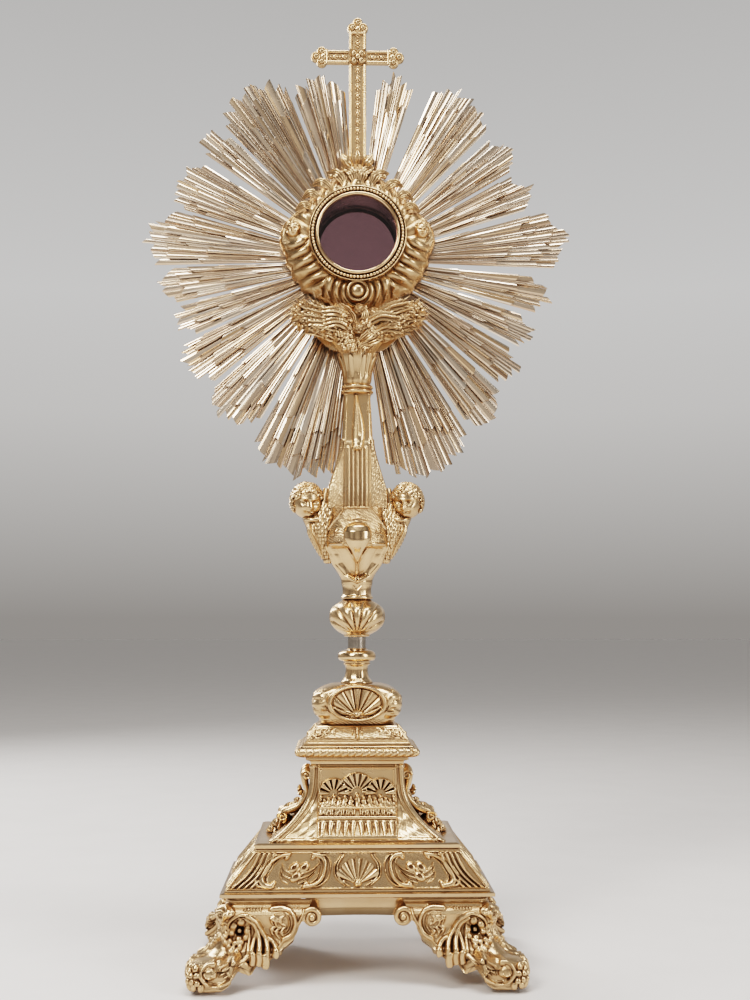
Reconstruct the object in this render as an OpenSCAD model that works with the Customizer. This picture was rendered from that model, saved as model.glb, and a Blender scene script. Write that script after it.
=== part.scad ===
// Baroque sunburst monstrance, built as a stack of separate castings and sheet pieces.
// Millimetres. X to the right, Y to the back, +Z up, floor at Z = 0, symmetry axis on Z.

/* [Base] */
// Height of the cast scroll feet
foot_height = 58; // [55:1:62]
// Width of the moulded frame that sits on the feet
frame_width = 190; // [186:1:196]
// Depth of the moulded frame that sits on the feet
frame_depth = 120; // [118:1:124]
// Height of the concave pyramid of the base
body_height = 52; // [46:1:58]

/* [Stem] */
// Height of the tapered shaft above the urn knot
shaft_height = 87; // [80:1:96]
// Greatest width of the urn knot
urn_width = 46; // [42:1:48]
// Greatest width of the shell knop
knop_width = 43; // [38:1:45]

/* [Glory] */
// Scale of the length of the rays
ray_scale = 1; // [0.92:0.01:1.04]
// Thickness of the sheet the rays are cut from
ray_sheet = 1.2; // [1:0.1:1.4]
// Height of the raised ridges on the rays
ray_ridge = 1; // [0.6:0.1:1.1]

/* [Window] */
// Radius of the glass that shows inside the front ring
sight_radius = 30.2; // [29:0.1:31]
// Depth of the case tube from glass to rear flange
tube_depth = 37; // [34:1:40]
// Thickness of both glasses
glass_thick = 2; // [1.6:0.1:2.2]

/* [Cross] */
// Height of the cross above the top of the window frame
cross_height = 120; // [110:1:126]
// Span of the arms over their end buds
cross_span = 73; // [66:1:78]
// Width of the upright of the cross
cross_bar = 13; // [11:0.5:14]

/* [Hidden] */
$fn = 36;
gap = 0.3;
fine = 16;
far = 400;

// Levels, from the floor up
z_frame = foot_height;
z_panel = z_frame + 4.2;
z_ledge = z_panel + 27.8;
z_body = z_ledge + 4;
z_cornice = z_body + body_height;
z_cover = z_cornice + 14;
z_dome = z_cover + 13;
z_neck = z_dome + 29.5;
z_saucer = z_neck + 16.5;
z_spacer = z_saucer + 9.5;
z_knop = z_spacer + 8.5;
z_upper = z_knop + 28;
z_urn = z_upper + 11;
z_shaft = z_urn + 57;
z_collar = z_shaft + shaft_height;
z_calyx = z_collar + 8;
window_z = z_calyx + 112;
glory_z = window_z - 14;
cross_z = window_z + 60;

// Tie rod through the stem
rod_r = 3;
rod_hole = 3.3;

// Depth planes of the head, front is negative
ring_back = 7.5;
ring_front = 5.5;
ray_front = ring_front - ray_sheet;
frame_back = 1.8;
tube_front = -20;
tube_back = tube_front + tube_depth;
tube_r = 34.5;
bore_r = 32.5;
door_front = tube_back + gap;
door_back = door_front + 3.6;
hinge_x = 39.6;
hinge_y = door_front + 1.9;
pin_r = 1.5;
button_x = -41;
button_screw_r = 1.5;
cross_back = ray_front - ray_ridge - 0.1;

// Rays: start angle, end angle from upright, tip radius
left_rays = [[4, 20.6, 156], [22, 44, 168], [45.2, 54.5, 160], [57.5, 73.5, 158],
             [74.6, 91.6, 169], [92.6, 103.6, 159], [104.9, 115.3, 154], [116.6, 131, 160],
             [132.4, 149.4, 166], [151, 175, 179]];
right_rays = [[6, 17.6, 158], [23.4, 44, 164], [46.4, 58.8, 156], [60.2, 72.4, 154],
              [74.6, 91.6, 169], [94.6, 106, 157], [107.8, 118, 152], [119.5, 131, 155],
              [132.6, 146.4, 168], [148, 172, 180]];

// ---------------------------------------------------------------- helpers

// Flat plate from an X-Z outline between two depths
module plate(y0, y1)
    translate([0, y1, 0])
        rotate([90, 0, 0])
            linear_extrude(y1 - y0)
                children();

// Flat plate from a Y-Z outline between two X positions
module side_plate(x0, x1)
    translate([x0, 0, 0])
        rotate([90, 0, 90])
            linear_extrude(x1 - x0)
                children();

// Disc or ring about the window axis between two depths
module window_ring(r_out, r_in, y0, y1)
    plate(y0, y1)
        translate([0, window_z])
            difference() {
                circle(r_out, $fn = 72);
                circle(r_in, $fn = 72);
            }

// Rod along Y at a given X and Z
module y_rod(x, z, r, y0, y1, f = 24)
    plate(y0, y1)
        translate([x, z])
            circle(r, $fn = f);

// Silhouette polygon of a stepped or curved block
module silhouette(h, w)
    polygon(concat([for (i = [0 : len(h) - 1]) [w[i] / 2, h[i]]],
                   [for (i = [len(h) - 1 : -1 : 0]) [-w[i] / 2, h[i]]]));

// Rectangular block whose width and depth follow a list of heights
module rect_stack(h, w, d)
    intersection() {
        plate(-far / 2, far / 2)
            silhouette(h, w);
        side_plate(-far / 2, far / 2)
            silhouette(h, d);
    }

// Turned piece about the Z axis with a bore
module turned(points, bore, f = 36)
    rotate_extrude($fn = f)
        polygon(concat([[bore, points[0][1]]], points,
                       [[bore, points[len(points) - 1][1]]]));

// ---------------------------------------------------------------- feet

foot_scale = foot_height / 58;
foot_shift = (frame_width - frame_depth) / 2;
screw_x = frame_width / 2 - 15;
screw_y = frame_depth / 2 - 14;

// Outline of a corner foot seen from one face; squeeze shortens the inner scroll arm
module foot_outline(squeeze) {
    lower = [[-91, 58], [-92.5, 54.5], [-96.5, 51.5], [-98.5, 48.4], [-97, 44.5],
             [-95.2, 39], [-96.4, 33], [-99.4, 27], [-103, 23.6], [-109, 22.8],
             [-113.6, 21], [-117, 16.8], [-118, 12], [-117, 6], [-114, 2.4], [-109, 0],
             [-96, 0], [-89, 3]];
    arm = [[-82, 8], [-76, 14], [-72.2, 15.4], [-68.4, 14.2], [-64.6, 14], [-60, 16.4],
           [-57.6, 19.4], [-54.8, 25], [-49, 28.4], [-44.6, 31.6], [-42, 35.6],
           [-40.5, 39.3], [-38, 43.4], [-37.2, 47], [-29.5, 50], [-26.8, 51.5],
           [-27.6, 54], [-30.8, 56], [-30.8, 58]];
    scale([1, foot_scale])
        union() {
            polygon(concat(lower, [for (p = arm) [-85 + (p[0] + 85) * squeeze, p[1]]]));
            translate([-85 + 53.6 * squeeze, 46.2])
                circle(6.4, $fn = 24);
        }
}

// Plan of the space one foot may fill, with the toe corner rounded
module foot_plan()
    union() {
        translate([-105, -83])
            square([85, 63]);
        translate([-118, -70])
            square([98, 50]);
        translate([-105, -70])
            circle(13, $fn = 24);
    }

// Corner bracket foot: front and side outlines meet in a splayed scroll leg
module foot(sx, sy)
    scale([sx, sy, 1])
        difference() {
            union() {
                difference() {
                    intersection() {
                        plate(-84, -14)
                            foot_outline(1);
                        side_plate(-120, -20)
                            translate([foot_shift, 0])
                                foot_outline(0.5);
                        linear_extrude(foot_height)
                            foot_plan();
                    }
                    translate([-85, -50, -1])
                        cube([80, 60, foot_height + 2]);
                }
                translate([-screw_x, -screw_y, foot_height - 12])
                    cylinder(h = 12, r = 6, $fn = 24);
            }
            translate([-screw_x, -screw_y, foot_height - 13])
                cylinder(h = 14, r = 2.05, $fn = 24);
            toe_groove();
        }

// Volute groove cut into the front and outer face of the toe
module toe_groove() {
    plate(-90, -81.6)
        translate([-99.6, 14.2 * foot_scale])
            volute_groove();
    side_plate(-120, -116.6)
        translate([foot_shift - 99.6, 14.2 * foot_scale])
            volute_groove();
}

module volute_groove()
    difference() {
        circle(8.6, $fn = 24);
        circle(6.6, $fn = 24);
        translate([-1, -10])
            square([12, 10]);
    }

module foot_front_left() color("goldenrod") foot(1, 1);
module foot_front_right() color("goldenrod") foot(-1, 1);
module foot_rear_left() color("goldenrod") foot(1, -1);
module foot_rear_right() color("goldenrod") foot(-1, -1);

// Four screws from below, through the feet into the frame
module foot_screws()
    color("darkgoldenrod")
        for (sx = [-1, 1])
            for (sy = [-1, 1])
                translate([sx * screw_x, sy * screw_y, foot_height - 14.4]) {
                    cylinder(h = 17.4, r = 2, $fn = 24);
                    cylinder(h = 2.4, r = 3.6, $fn = 24);
                }

// ---------------------------------------------------------------- base frame

module base_frame()
    color("gold")
        difference() {
            rect_stack([z_frame, z_frame + 0.8, z_frame + 1.3, z_frame + 3.5, z_panel],
                       [frame_width - 9, frame_width - 6, frame_width, frame_width,
                        frame_width - 5],
                       [frame_depth - 9, frame_depth - 6, frame_depth, frame_depth,
                        frame_depth - 5]);
            translate([-frame_width / 2 + 21, -frame_depth / 2 + 20, z_frame - 1])
                cube([frame_width - 42, frame_depth - 40, 7]);
            for (sx = [-1, 1])
                for (sy = [-1, 1])
                    translate([sx * screw_x, sy * screw_y, z_frame - 1])
                        cylinder(h = 5, r = 2.03, $fn = 24);
        }

// Polished plate with a shallow arched lower edge
module apron_outline(half)
    difference() {
        translate([-half, z_frame - 12])
            square([2 * half, 12]);
        translate([0, z_frame - 12 - 4 * half])
            circle(4 * half + 3.4, $fn = 96);
    }

module long_aprons()
    color("gold")
        for (s = [-1, 1])
            scale([1, s, 1])
                plate(-frame_depth / 2 + 5, -frame_depth / 2 + 8)
                    apron_outline(24.4);

module side_aprons()
    color("gold")
        for (s = [-1, 1])
            scale([s, 1, 1])
                side_plate(frame_width / 2 - 8, frame_width / 2 - 5)
                    apron_outline(17);

// Sloping lower panel, an open rectangular shell with raised oval bosses
panel_bottom = [frame_width - 6, frame_depth - 6];
panel_top = [141, 98];

module lower_panel()
    color("gold")
        difference() {
            union() {
                rect_stack([z_panel, z_panel + 1.6, z_ledge - 1.4, z_ledge],
                           [panel_bottom[0], panel_bottom[0] - 1.4, panel_top[0],
                            panel_top[0]],
                           [panel_bottom[1], panel_bottom[1] - 1, panel_top[1],
                            panel_top[1]]);
                for (sy = [-1, 1])
                    for (x = [-42, 0, 42])
                        translate([x, sy * 53, z_panel + 13.6])
                            rotate([90 * sy - sy * 16, 0, 0])
                                cylinder(h = 2.4, r1 = 10, r2 = 7, $fn = 20);
            }
            rect_stack([z_panel - 1, z_panel, z_ledge - 1.4, z_ledge + 1],
                       [panel_bottom[0] - 6, panel_bottom[0] - 6, panel_top[0] - 6,
                        panel_top[0] - 6],
                       [panel_bottom[1] - 6, panel_bottom[1] - 6, panel_top[1] - 6,
                        panel_top[1] - 6]);
        }

module middle_ledge()
    color("gold")
        difference() {
            rect_stack([z_ledge, z_ledge + 0.8, z_ledge + 3, z_body],
                       [141, 144, 144, 139], [98, 101, 101, 96]);
            translate([-53, -35, z_ledge - 1])
                cube([106, 70, 6]);
        }

// Concave pyramid
body_h = [for (t = [0, 0.163, 0.346, 0.53, 0.725, 1]) z_body + t * body_height];
body_w = [124, 107.5, 88.5, 75, 69.5, 67];
body_d = [88, 78, 66.8, 58.5, 55.5, 54];

module body_solid(less)
    rect_stack(body_h, [for (w = body_w) w - less], [for (d = body_d) d - less]);

module body_shell()
    color("gold")
        difference() {
            body_solid(0);
            intersection() {
                body_solid(5);
                translate([-90, -90, z_body - 1])
                    cube([180, 180, body_height + 2]);
            }
            translate([-59, -41, z_body - 1])
                cube([118, 82, 1.2]);
        }

// Framed relief plaque with three fan canopies over a long table
module plaque() {
    difference() {
        side_plate(-28, 28)
            polygon(concat([for (i = [0 : 5]) [-body_d[i] / 2 - 2.6, body_h[i]]],
                           [for (i = [5 : -1 : 0]) [-body_d[i] / 2, body_h[i]]]));
        translate([-40, -80, z_body - 1])
            cube([80, 160, 2.6]);
        translate([-40, -80, z_cornice - 3.4])
            cube([80, 160, 5]);
        translate([-25, -80, z_body + 16])
            cube([50, 80 - body_d[3] / 2 - 1.2, 29]);
    }
    difference() {
        union() {
            for (x = [-16, 0, 16])
                plate(-body_d[3] / 2 - 1.9, -body_d[4] / 2 + 1)
                    translate([x, z_body + 33])
                        intersection() {
                            circle(7.6, $fn = fine);
                            translate([-9, 0])
                                square([18, 9]);
                        }
            for (x = [-18 : 6 : 18])
                translate([x, -body_d[3] / 2 - 1.2, z_body + 27])
                    sphere(2.2, $fn = 8);
            translate([-22, -body_d[3] / 2 - 3.4, z_body + 17])
                cube([44, 4, 7]);
        }
        body_solid(0);
    }
}

module plaques()
    color("gold")
        for (s = [-1, 1])
            scale([1, s, 1])
                plaque();

// Leaf and volute mounts on the two short sides
module side_scrolls()
    color("goldenrod")
        for (s = [-1, 1])
            scale([s, 1, 1])
                difference() {
                    plate(-15, 15)
                        union() {
                            polygon([[33, z_body + 12], [52, z_body + 14],
                                     [60, z_body + 19], [57, z_body + 25],
                                     [46, z_body + 27], [40, z_body + 34],
                                     [38.5, z_body + 45], [30, z_body + 49]]);
                            translate([37, z_body + 45])
                                circle(4.4, $fn = 20);
                            translate([56.5, z_body + 21.5])
                                circle(4, $fn = 20);
                        }
                    body_solid(0);
                }

// ---------------------------------------------------------------- cap

module cornice()
    color("gold")
        difference() {
            rect_stack([z_cornice, z_cornice + 2.4, z_cornice + 3.4, z_cornice + 5,
                        z_cornice + 6.4, z_cornice + 11.6, z_cornice + 13, z_cover],
                       [67, 68, 74, 74, 89, 89, 86, 80], [54, 55, 60, 60, 75, 75, 72, 66]);
            translate([-30, -23.5, z_cornice - 1])
                cube([60, 47, 10]);
            cylinder(h = far * 2, r = rod_hole, $fn = 24);
        }

module cap_cover()
    color("gold")
        difference() {
            rect_stack([z_cover, z_cover + 1.6, z_cover + 2.4, z_dome - 1, z_dome],
                       [77, 77, 75, 59.4, 59.4], [63, 63, 61.4, 49, 49]);
            rect_stack([z_cover - 1, z_cover + 1, z_dome - 3], [68, 68, 50], [54, 54, 40]);
            cylinder(h = far * 2, r = rod_hole, $fn = 24);
        }

// Cushion dome with cut corners
module dome_solid()
    intersection() {
        rect_stack([z_dome, z_dome + 3, z_dome + 8, z_dome + 13, z_dome + 18, z_dome + 22,
                    z_dome + 26, z_dome + 28.4, z_neck],
                   [50, 55, 61.5, 66, 67, 65.6, 59, 48, 34],
                   [42, 46, 51, 54.5, 56, 55, 50, 42, 32]);
        cylinder(h = far * 2, r = 37.5, $fn = 72);
    }

module cap_dome()
    color("gold")
        difference() {
            dome_solid();
            cylinder(h = far * 2, r = rod_hole, $fn = 24);
            translate([0, 0, z_dome - 1])
                cylinder(h = 24, r = 20, $fn = 36);
        }

// Oval shell cartouche on the front and the back of the dome
module cartouches()
    color("goldenrod")
        for (s = [-1, 1])
            scale([1, s, 1])
                difference() {
                    plate(-32, -16)
                        translate([0, z_dome + 16.4])
                            scale([1.66, 1])
                                circle(13.2, $fn = 36);
                    plate(-33, -30.6)
                        translate([0, z_dome + 16.4])
                            scale([1.66, 1])
                                circle(11.4, $fn = 36);
                    dome_solid();
                }

// ---------------------------------------------------------------- stem

module flared_neck()
    color("gold")
        turned([[11.6, z_neck], [11.6, z_neck + 1.2], [9.4, z_neck + 4], [8, z_neck + 8.5],
                [8.2, z_neck + 12], [9.4, z_neck + 15], [9.4, z_saucer]], rod_hole);

module saucer()
    color("gold")
        turned([[10, z_saucer], [13, z_saucer + 1], [14.2, z_saucer + 2.8],
                [13.4, z_saucer + 4.6], [9.6, z_saucer + 6], [9.2, z_spacer]], rod_hole);

module spacer_tube()
    color("silver")
        turned([[6.7, z_spacer], [6.7, z_knop]], rod_hole);

// Shell knop: turned core with upright ribs
module shell_knop()
    color("gold") {
        k = knop_width / 43;
        turned([[8.6, z_knop], [9.4, z_knop + 2], [14.4 * k, z_knop + 6],
                [19.4 * k, z_knop + 11], [20.7 * k, z_knop + 16], [18.6 * k, z_knop + 21],
                [12.6 * k, z_knop + 25.4], [10, z_upper]], rod_hole);
        for (a = [0 : 30 : 330])
            rotate([0, 0, a])
                plate(-1.5, 1.5)
                    polygon([[8, z_knop + 3.4], [15.6 * k, z_knop + 6],
                             [20.4 * k, z_knop + 11], [21.5 * k, z_knop + 16],
                             [19.4 * k, z_knop + 21.4], [8, z_knop + 25]]);
    }

module upper_neck()
    color("gold")
        turned([[12, z_upper], [12, z_upper + 1.6], [10.8, z_upper + 3.4],
                [10.8, z_upper + 8.6], [11.6, z_urn]], rod_hole);

// Pear shaped knot with a raised tear on the front and the back
urn_z = [0, 3.4, 9.5, 17, 24, 30, 37, 44, 50, 57];
urn_r = [11.6, 12.4, 15, 18.6, 21.9, 23, 22.2, 19.2, 16, 14];

module urn_solid(extra)
    rotate_extrude($fn = 48)
        polygon(concat([[0, z_urn]],
                       [for (i = [0 : 9]) [(urn_r[i] + extra) * urn_width / 46,
                                           z_urn + urn_z[i]]],
                       [[0, z_shaft]]));

module urn_knot()
    color("gold")
        difference() {
            union() {
                urn_solid(0);
                intersection() {
                    urn_solid(1.7);
                    plate(-40, 40)
                        translate([0, z_urn + 33])
                            union() {
                                circle(12.6, $fn = 36);
                                polygon([[-12, -4], [12, -4], [2.4, -25.6],
                                         [-2.4, -25.6]]);
                            }
                }
            }
            translate([0, 0, z_urn - 1])
                cylinder(h = 60, r = rod_hole, $fn = 24);
        }

// Fluted shaft with flared side shields
shaft_h = [z_shaft, z_shaft + 10, z_shaft + 16, z_shaft + 28.6, z_shaft + 43.4,
           z_shaft + 52.6, z_collar - 3.6, z_collar];
shaft_w = [47, 46.6, 44.4, 36.8, 28.5, 26.2, 20.6, 22];

module shaft_solid()
    rect_stack(shaft_h, shaft_w, [26, 28, 28, 26.4, 24, 22, 17.6, 19]);

module shaft()
    color("gold")
        difference() {
            union() {
                shaft_solid();
                for (s = [-1, 1])
                    scale([1, s, 1])
                        plate(-13.6, -7)
                            polygon([[0, z_shaft + 44], [3.4, z_shaft + 50],
                                     [2.4, z_collar - 2], [-2.4, z_collar - 2],
                                     [-3.4, z_shaft + 50]]);
            }
            translate([0, 0, z_shaft - 1])
                cylinder(h = shaft_height + 2, r = rod_hole, $fn = 24);
            for (x = [-7.5 : 3.75 : 7.5])
                for (s = [-1, 1])
                    scale([1, s, 1])
                        plate(-20, -12.2)
                            translate([x - 0.6, z_shaft - 1])
                                square([1.2, 42]);
        }

module collar_ring()
    color("gold")
        turned([[10, z_collar], [11.4, z_collar + 1.2], [12.3, z_collar + 3],
                [12.3, z_collar + 5], [11.4, z_collar + 6.8], [10, z_calyx]], rod_hole);

// Leafy socket that holds the tongue of the glory ring
module calyx()
    color("gold")
        difference() {
            union() {
                turned([[9.8, z_calyx], [11, z_calyx + 3], [11.2, z_calyx + 8],
                        [12.8, z_calyx + 14], [14.2, z_calyx + 20],
                        [14.2, z_calyx + 24]], 0);
                for (a = [0 : 45 : 315])
                    rotate([0, 0, a + 22.5])
                        plate(-2.6, 2.6)
                            polygon([[8, z_calyx + 2], [12.4, z_calyx + 8],
                                     [15.4, z_calyx + 17], [16.6, z_calyx + 22],
                                     [8, z_calyx + 20]]);
            }
            translate([0, 0, z_calyx - 1])
                cylinder(h = 9, r = 3.04, $fn = 24);
            translate([-8.2, ring_front - 0.2, z_calyx + 9.8])
                cube([16.4, 2.4, 30]);
            y_rod(0, z_calyx + 16, 1.54, -4, 40);
        }

module tie_rod()
    color("silver")
        translate([0, 0, z_cornice - 2])
            cylinder(h = z_calyx + 7.6 - z_cornice + 2, r = rod_r, $fn = 24);

module tie_washer()
    color("silver")
        translate([0, 0, z_cornice + 7])
            difference() {
                cylinder(h = 2, r = 11, $fn = 36);
                translate([0, 0, -1])
                    cylinder(h = 4, r = rod_hole, $fn = 24);
            }

module tie_nut()
    color("silver")
        translate([0, 0, z_cornice + 1.4])
            difference() {
                cylinder(h = 5.4, r = 6.8, $fn = 6);
                translate([0, 0, -1])
                    cylinder(h = 8, r = 3.04, $fn = 24);
            }

// Winged child's head on each side of the urn knot; the wings follow the knot's outline
module cherub(s)
    scale([s, 1, 1]) {
        translate([37.8, -2, z_shaft + 5.6])
            sphere(12.6, $fn = 24);
        for (a = [-20 : 40 : 180])
            translate([38.4 + 8.4 * cos(a), 2, z_shaft + 7.6 + 8.2 * sin(a)])
                sphere(4.6, $fn = 24);
        translate([28, 0, z_shaft - 8])
            rotate([0, 34, 0])
                cylinder(h = 14, r1 = 8, r2 = 6.6, $fn = 20);
        plate(-7, 7)
            polygon(concat([for (i = [2 : 8]) [(urn_r[i] + 0.1) * urn_width / 46 + 0.1,
                                               z_urn + urn_z[i]]],
                           [[31, z_shaft - 2], [38.6, z_shaft - 10], [38.4, z_shaft - 20],
                            [34.6, z_shaft - 26], [30, z_shaft - 35]]));
        plate(-10.4, 10.4)
            polygon(concat([for (i = [4 : 7]) [(urn_r[i] + 0.1) * urn_width / 46 + 0.1,
                                               z_urn + urn_z[i]]],
                           [[30, z_shaft - 8], [35, z_shaft - 14], [34, z_shaft - 21],
                            [28.4, z_shaft - 31]]));
    }

module cherub_left() color("gold") cherub(-1);
module cherub_right() color("gold") cherub(1);

// ---------------------------------------------------------------- bouquet

// Small facetted ear of wheat, pointing along +X before it is placed
module ear(x, y, z, a, len)
    translate([x, y, z])
        rotate([0, -a, 0])
            rotate([0, 90, 0])
                rotate_extrude($fn = 6)
                    polygon([[0, 0], [2.6, len * 0.24], [3.1, len * 0.55], [0, len]]);

module sheaf(s)
    scale([s, 1, 1]) {
        plate(-11, -6.4)
            polygon([[8, z_calyx + 24], [20, z_calyx + 24], [27, z_calyx + 31],
                     [44, z_calyx + 46], [49, z_calyx + 54], [48, z_calyx + 62],
                     [41, z_calyx + 66], [27, z_calyx + 64], [17, z_calyx + 57],
                     [13, z_calyx + 51], [13, z_calyx + 44], [9, z_calyx + 30]]);
        for (i = [0 : 4])
            ear(16 + 3.4 * i, -12 - 0.8 * i, z_calyx + 34 + 6 * i, 36 - 5 * i, 27 - i);
        for (i = [0 : 3])
            ear(11.6 + 4 * i, -14 - i, z_calyx + 25 + 10 * i, 50 - 8 * i, 20);
    }

module sheaf_left() color("goldenrod") sheaf(-1);
module sheaf_right() color("goldenrod") sheaf(1);

// Bunch of grapes with a backing leaf, between the sheaves
module grape_cluster()
    color("gold") {
        plate(-11, -6.4)
            polygon([[-7.6, z_calyx + 24], [7.6, z_calyx + 24], [8.7, z_calyx + 30],
                     [12.6, z_calyx + 44.3], [12.6, z_calyx + 51],
                     [-12.6, z_calyx + 51], [-12.6, z_calyx + 44.3],
                     [-8.7, z_calyx + 30]]);
        for (r = [0 : 3])
            for (c = [0 : r < 3 ? r : 3])
                translate([(c - (r < 3 ? r : 3) / 2) * 6.2, -12.6 - (r % 2),
                           z_calyx + 28.4 + 6 * r])
                    sphere(3.8, $fn = 8);
    }

// ---------------------------------------------------------------- glory

// Distance from the glory centre to a circle of given radius about the window
function reach(a, r) = 14 * cos(a) + sqrt(r * r - pow(14 * sin(a), 2));
function polar(a, r, s) = [s * r * sin(a), glory_z + r * cos(a)];
function ray_count(c) = max(4, round((c[1] - c[0]) / 2.1));
function wave(i, k) = sin(i * 137 + k * 61);
// Tip radius of ray i of n in a cluster
function tip(c, i, n) =
    (c[2] - 17 * pow(abs(2 * (i + 0.5) / n - 1), 1.6) - 4.5 - 4.5 * wave(i, c[0])) * ray_scale;

// Outline of one fan of rays with a jagged outer edge
module fan_outline(c, s) {
    n = ray_count(c);
    w = (c[1] - c[0]) / n;
    polygon(concat([polar(c[0], 24, s)],
                   [for (i = [0 : n - 1]) for (k = [0 : 2])
                       polar(c[0] + w * (i + [0.04, 0.45, 0.96][k]),
                             tip(c, i, n) - [5, 0, 4][k], s)],
                   [polar(c[1], 24, s)]));
}

// Raised ridges, stepped in length
module fan_ridges(c, s) {
    n = ray_count(c);
    w = (c[1] - c[0]) / n;
    for (i = [0 : n - 1]) {
        r = tip(c, i, n) * (0.93 - 0.11 * (i % 3));
        polygon([polar(c[0] + w * (i + 0.2), 64, s), polar(c[0] + w * (i + 0.2), r, s),
                 polar(c[0] + w * (i + 0.5), r + 4, s), polar(c[0] + w * (i + 0.8), r, s),
                 polar(c[0] + w * (i + 0.8), 64, s)]);
    }
}

// Places where the sheets are riveted to the ring
function rivet_at(c, s) =
    let (a = (c[0] + c[1]) / 2) polar(a, reach(a, 46), s);
rivets = concat([for (c = left_rays) rivet_at(c, -1)], [for (c = right_rays) rivet_at(c, 1)],
                [[0, window_z + 46]]);
case_points = [for (a = [77, 126, 234, 283]) [51 * sin(a), window_z + 51 * cos(a)]];

module fixing_holes() {
    for (p = rivets)
        translate(p)
            circle(1.22, $fn = 8);
    for (p = case_points)
        translate(p)
            circle(1.56, $fn = fine);
}

// Space that the calyx, the collar ring and the shaft need in the plane of the rays
module stem_space() {
    translate([-17, z_calyx - 1])
        square([34, 26]);
    translate([-12.7, z_collar])
        square([25.4, 10]);
    offset(delta = gap)
        silhouette(shaft_h, shaft_w);
}

// One cut sheet: its fans share a root band
module ray_sheet_part(list, s) {
    color("silver") {
        plate(ray_front, ring_front)
            difference() {
                union() {
                    for (c = list)
                        fan_outline(c, s);
                    intersection() {
                        translate([0, glory_z])
                            circle(52, $fn = 48);
                        polygon(concat([[0, glory_z]],
                                       [for (t = [0 : 0.2 : 1])
                                           polar(list[0][0] + t *
                                                 (list[len(list) - 1][1] - list[0][0]),
                                                 80, s)]));
                    }
                }
                translate([0, window_z])
                    circle(tube_r + 2, $fn = 48);
                fixing_holes();
                stem_space();
            }
        plate(ray_front - ray_ridge, ray_front)
            difference() {
                for (c = list)
                    fan_ridges(c, s);
                stem_space();
            }
    }
}

module rays_left_1() ray_sheet_part([left_rays[0]], -1);
module rays_left_2() ray_sheet_part([left_rays[1], left_rays[2]], -1);
module rays_left_3() ray_sheet_part([left_rays[3], left_rays[4]], -1);
module rays_left_4() ray_sheet_part([left_rays[5], left_rays[6], left_rays[7]], -1);
module rays_left_5() ray_sheet_part([left_rays[8], left_rays[9]], -1);
module rays_right_1() ray_sheet_part([right_rays[0]], 1);
module rays_right_2() ray_sheet_part([right_rays[1], right_rays[2]], 1);
module rays_right_3() ray_sheet_part([right_rays[3], right_rays[4]], 1);
module rays_right_4() ray_sheet_part([right_rays[5], right_rays[6], right_rays[7]], 1);
module rays_right_5() ray_sheet_part([right_rays[8], right_rays[9]], 1);

// Backing ring with a tongue that drops into the calyx
module glory_ring()
    color("silver")
        plate(ring_front, ring_back)
            difference() {
                union() {
                    translate([0, window_z])
                        circle(56, $fn = 72);
                    translate([-8, z_calyx + 10])
                        square([16, 60]);
                }
                translate([0, window_z])
                    circle(tube_r + 0.1, $fn = 72);
                fixing_holes();
                translate([0, z_calyx + 16])
                    circle(1.56, $fn = fine);
            }

// Rivets with a round head behind the ring
module glory_rivets()
    color("silver")
        for (p = rivets) {
            y_rod(p[0], p[1], 1.2, 3.6, ring_back + 1, 8);
            y_rod(p[0], p[1], 2.2, ring_back, ring_back + 1.2, 8);
        }

// Screws that hold the window frame to the ring, and one through the tongue
module case_screws()
    color("darkgoldenrod") {
        for (p = case_points) {
            y_rod(p[0], p[1], 1.5, -3, ring_back + 1, fine);
            y_rod(p[0], p[1], 2.8, ring_back, ring_back + 1.8, fine);
        }
        y_rod(0, z_calyx + 16, 1.5, -1, 16, fine);
        y_rod(0, z_calyx + 16, 2.8, 15, 16.8, fine);
    }

// ---------------------------------------------------------------- window frame

// Scalloped outline of the frame; cut shrinks every lobe
module rocaille_outline(cut, hub)
    translate([0, window_z])
        union() {
            circle(hub, $fn = 72);
            translate([0, 46])
                circle(14 - cut, $fn = 36);
            translate([0, -40])
                circle(24 - cut, $fn = 48);
            for (s = [-1, 1]) {
                translate([s * 17, 29])
                    circle(15 - cut, $fn = 36);
                translate([s * 30, 15.5])
                    circle(15 - cut, $fn = 36);
                translate([s * 42, -19])
                    circle(13 - cut, $fn = 36);
                translate([s * 30, -37])
                    circle(12.6 - cut, $fn = 36);
            }
        }

module rocaille_frame()
    color("gold")
        difference() {
            union() {
                plate(-5, frame_back)
                    union() {
                        rocaille_outline(0, 43);
                        for (s = [-1, 1])
                            translate([s * 50, window_z + 2])
                                circle(13, $fn = 36);
                    }
                plate(-12, -5)
                    rocaille_outline(3.6, 42);
                plate(-18, -12)
                    rocaille_outline(7.6, 40.6);
                plate(tube_front, -18)
                    rocaille_outline(10.6, 39.4);
                y_rod(0, window_z - 45, 7, -22, tube_front, 36);
                y_rod(0, window_z - 45, 3, -24.4, tube_front, 24);
            }
            y_rod(0, window_z, tube_r + 0.1, -40, 10, 72);
            y_rod(0, window_z, 37, -40, -15.8, 72);
            for (p = case_points)
                y_rod(p[0], p[1], 1.52, -3.4, 10, fine);
        }

// Small child's head on each shoulder of the frame
module putto(s)
    scale([s, 1, 1]) {
        translate([52.6, -12.6, window_z + 1.4])
            sphere(7.4, $fn = 24);
        for (a = [-10 : 38 : 180])
            translate([52.6 + 5.4 * cos(a), -10.6, window_z + 3 + 5 * sin(a)])
                sphere(3, $fn = 24);
        plate(-10, -5)
            translate([53.6, window_z - 3.6])
                circle(6, $fn = 20);
    }

module putto_left() color("gold") putto(-1);
module putto_right() color("gold") putto(1);

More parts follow.
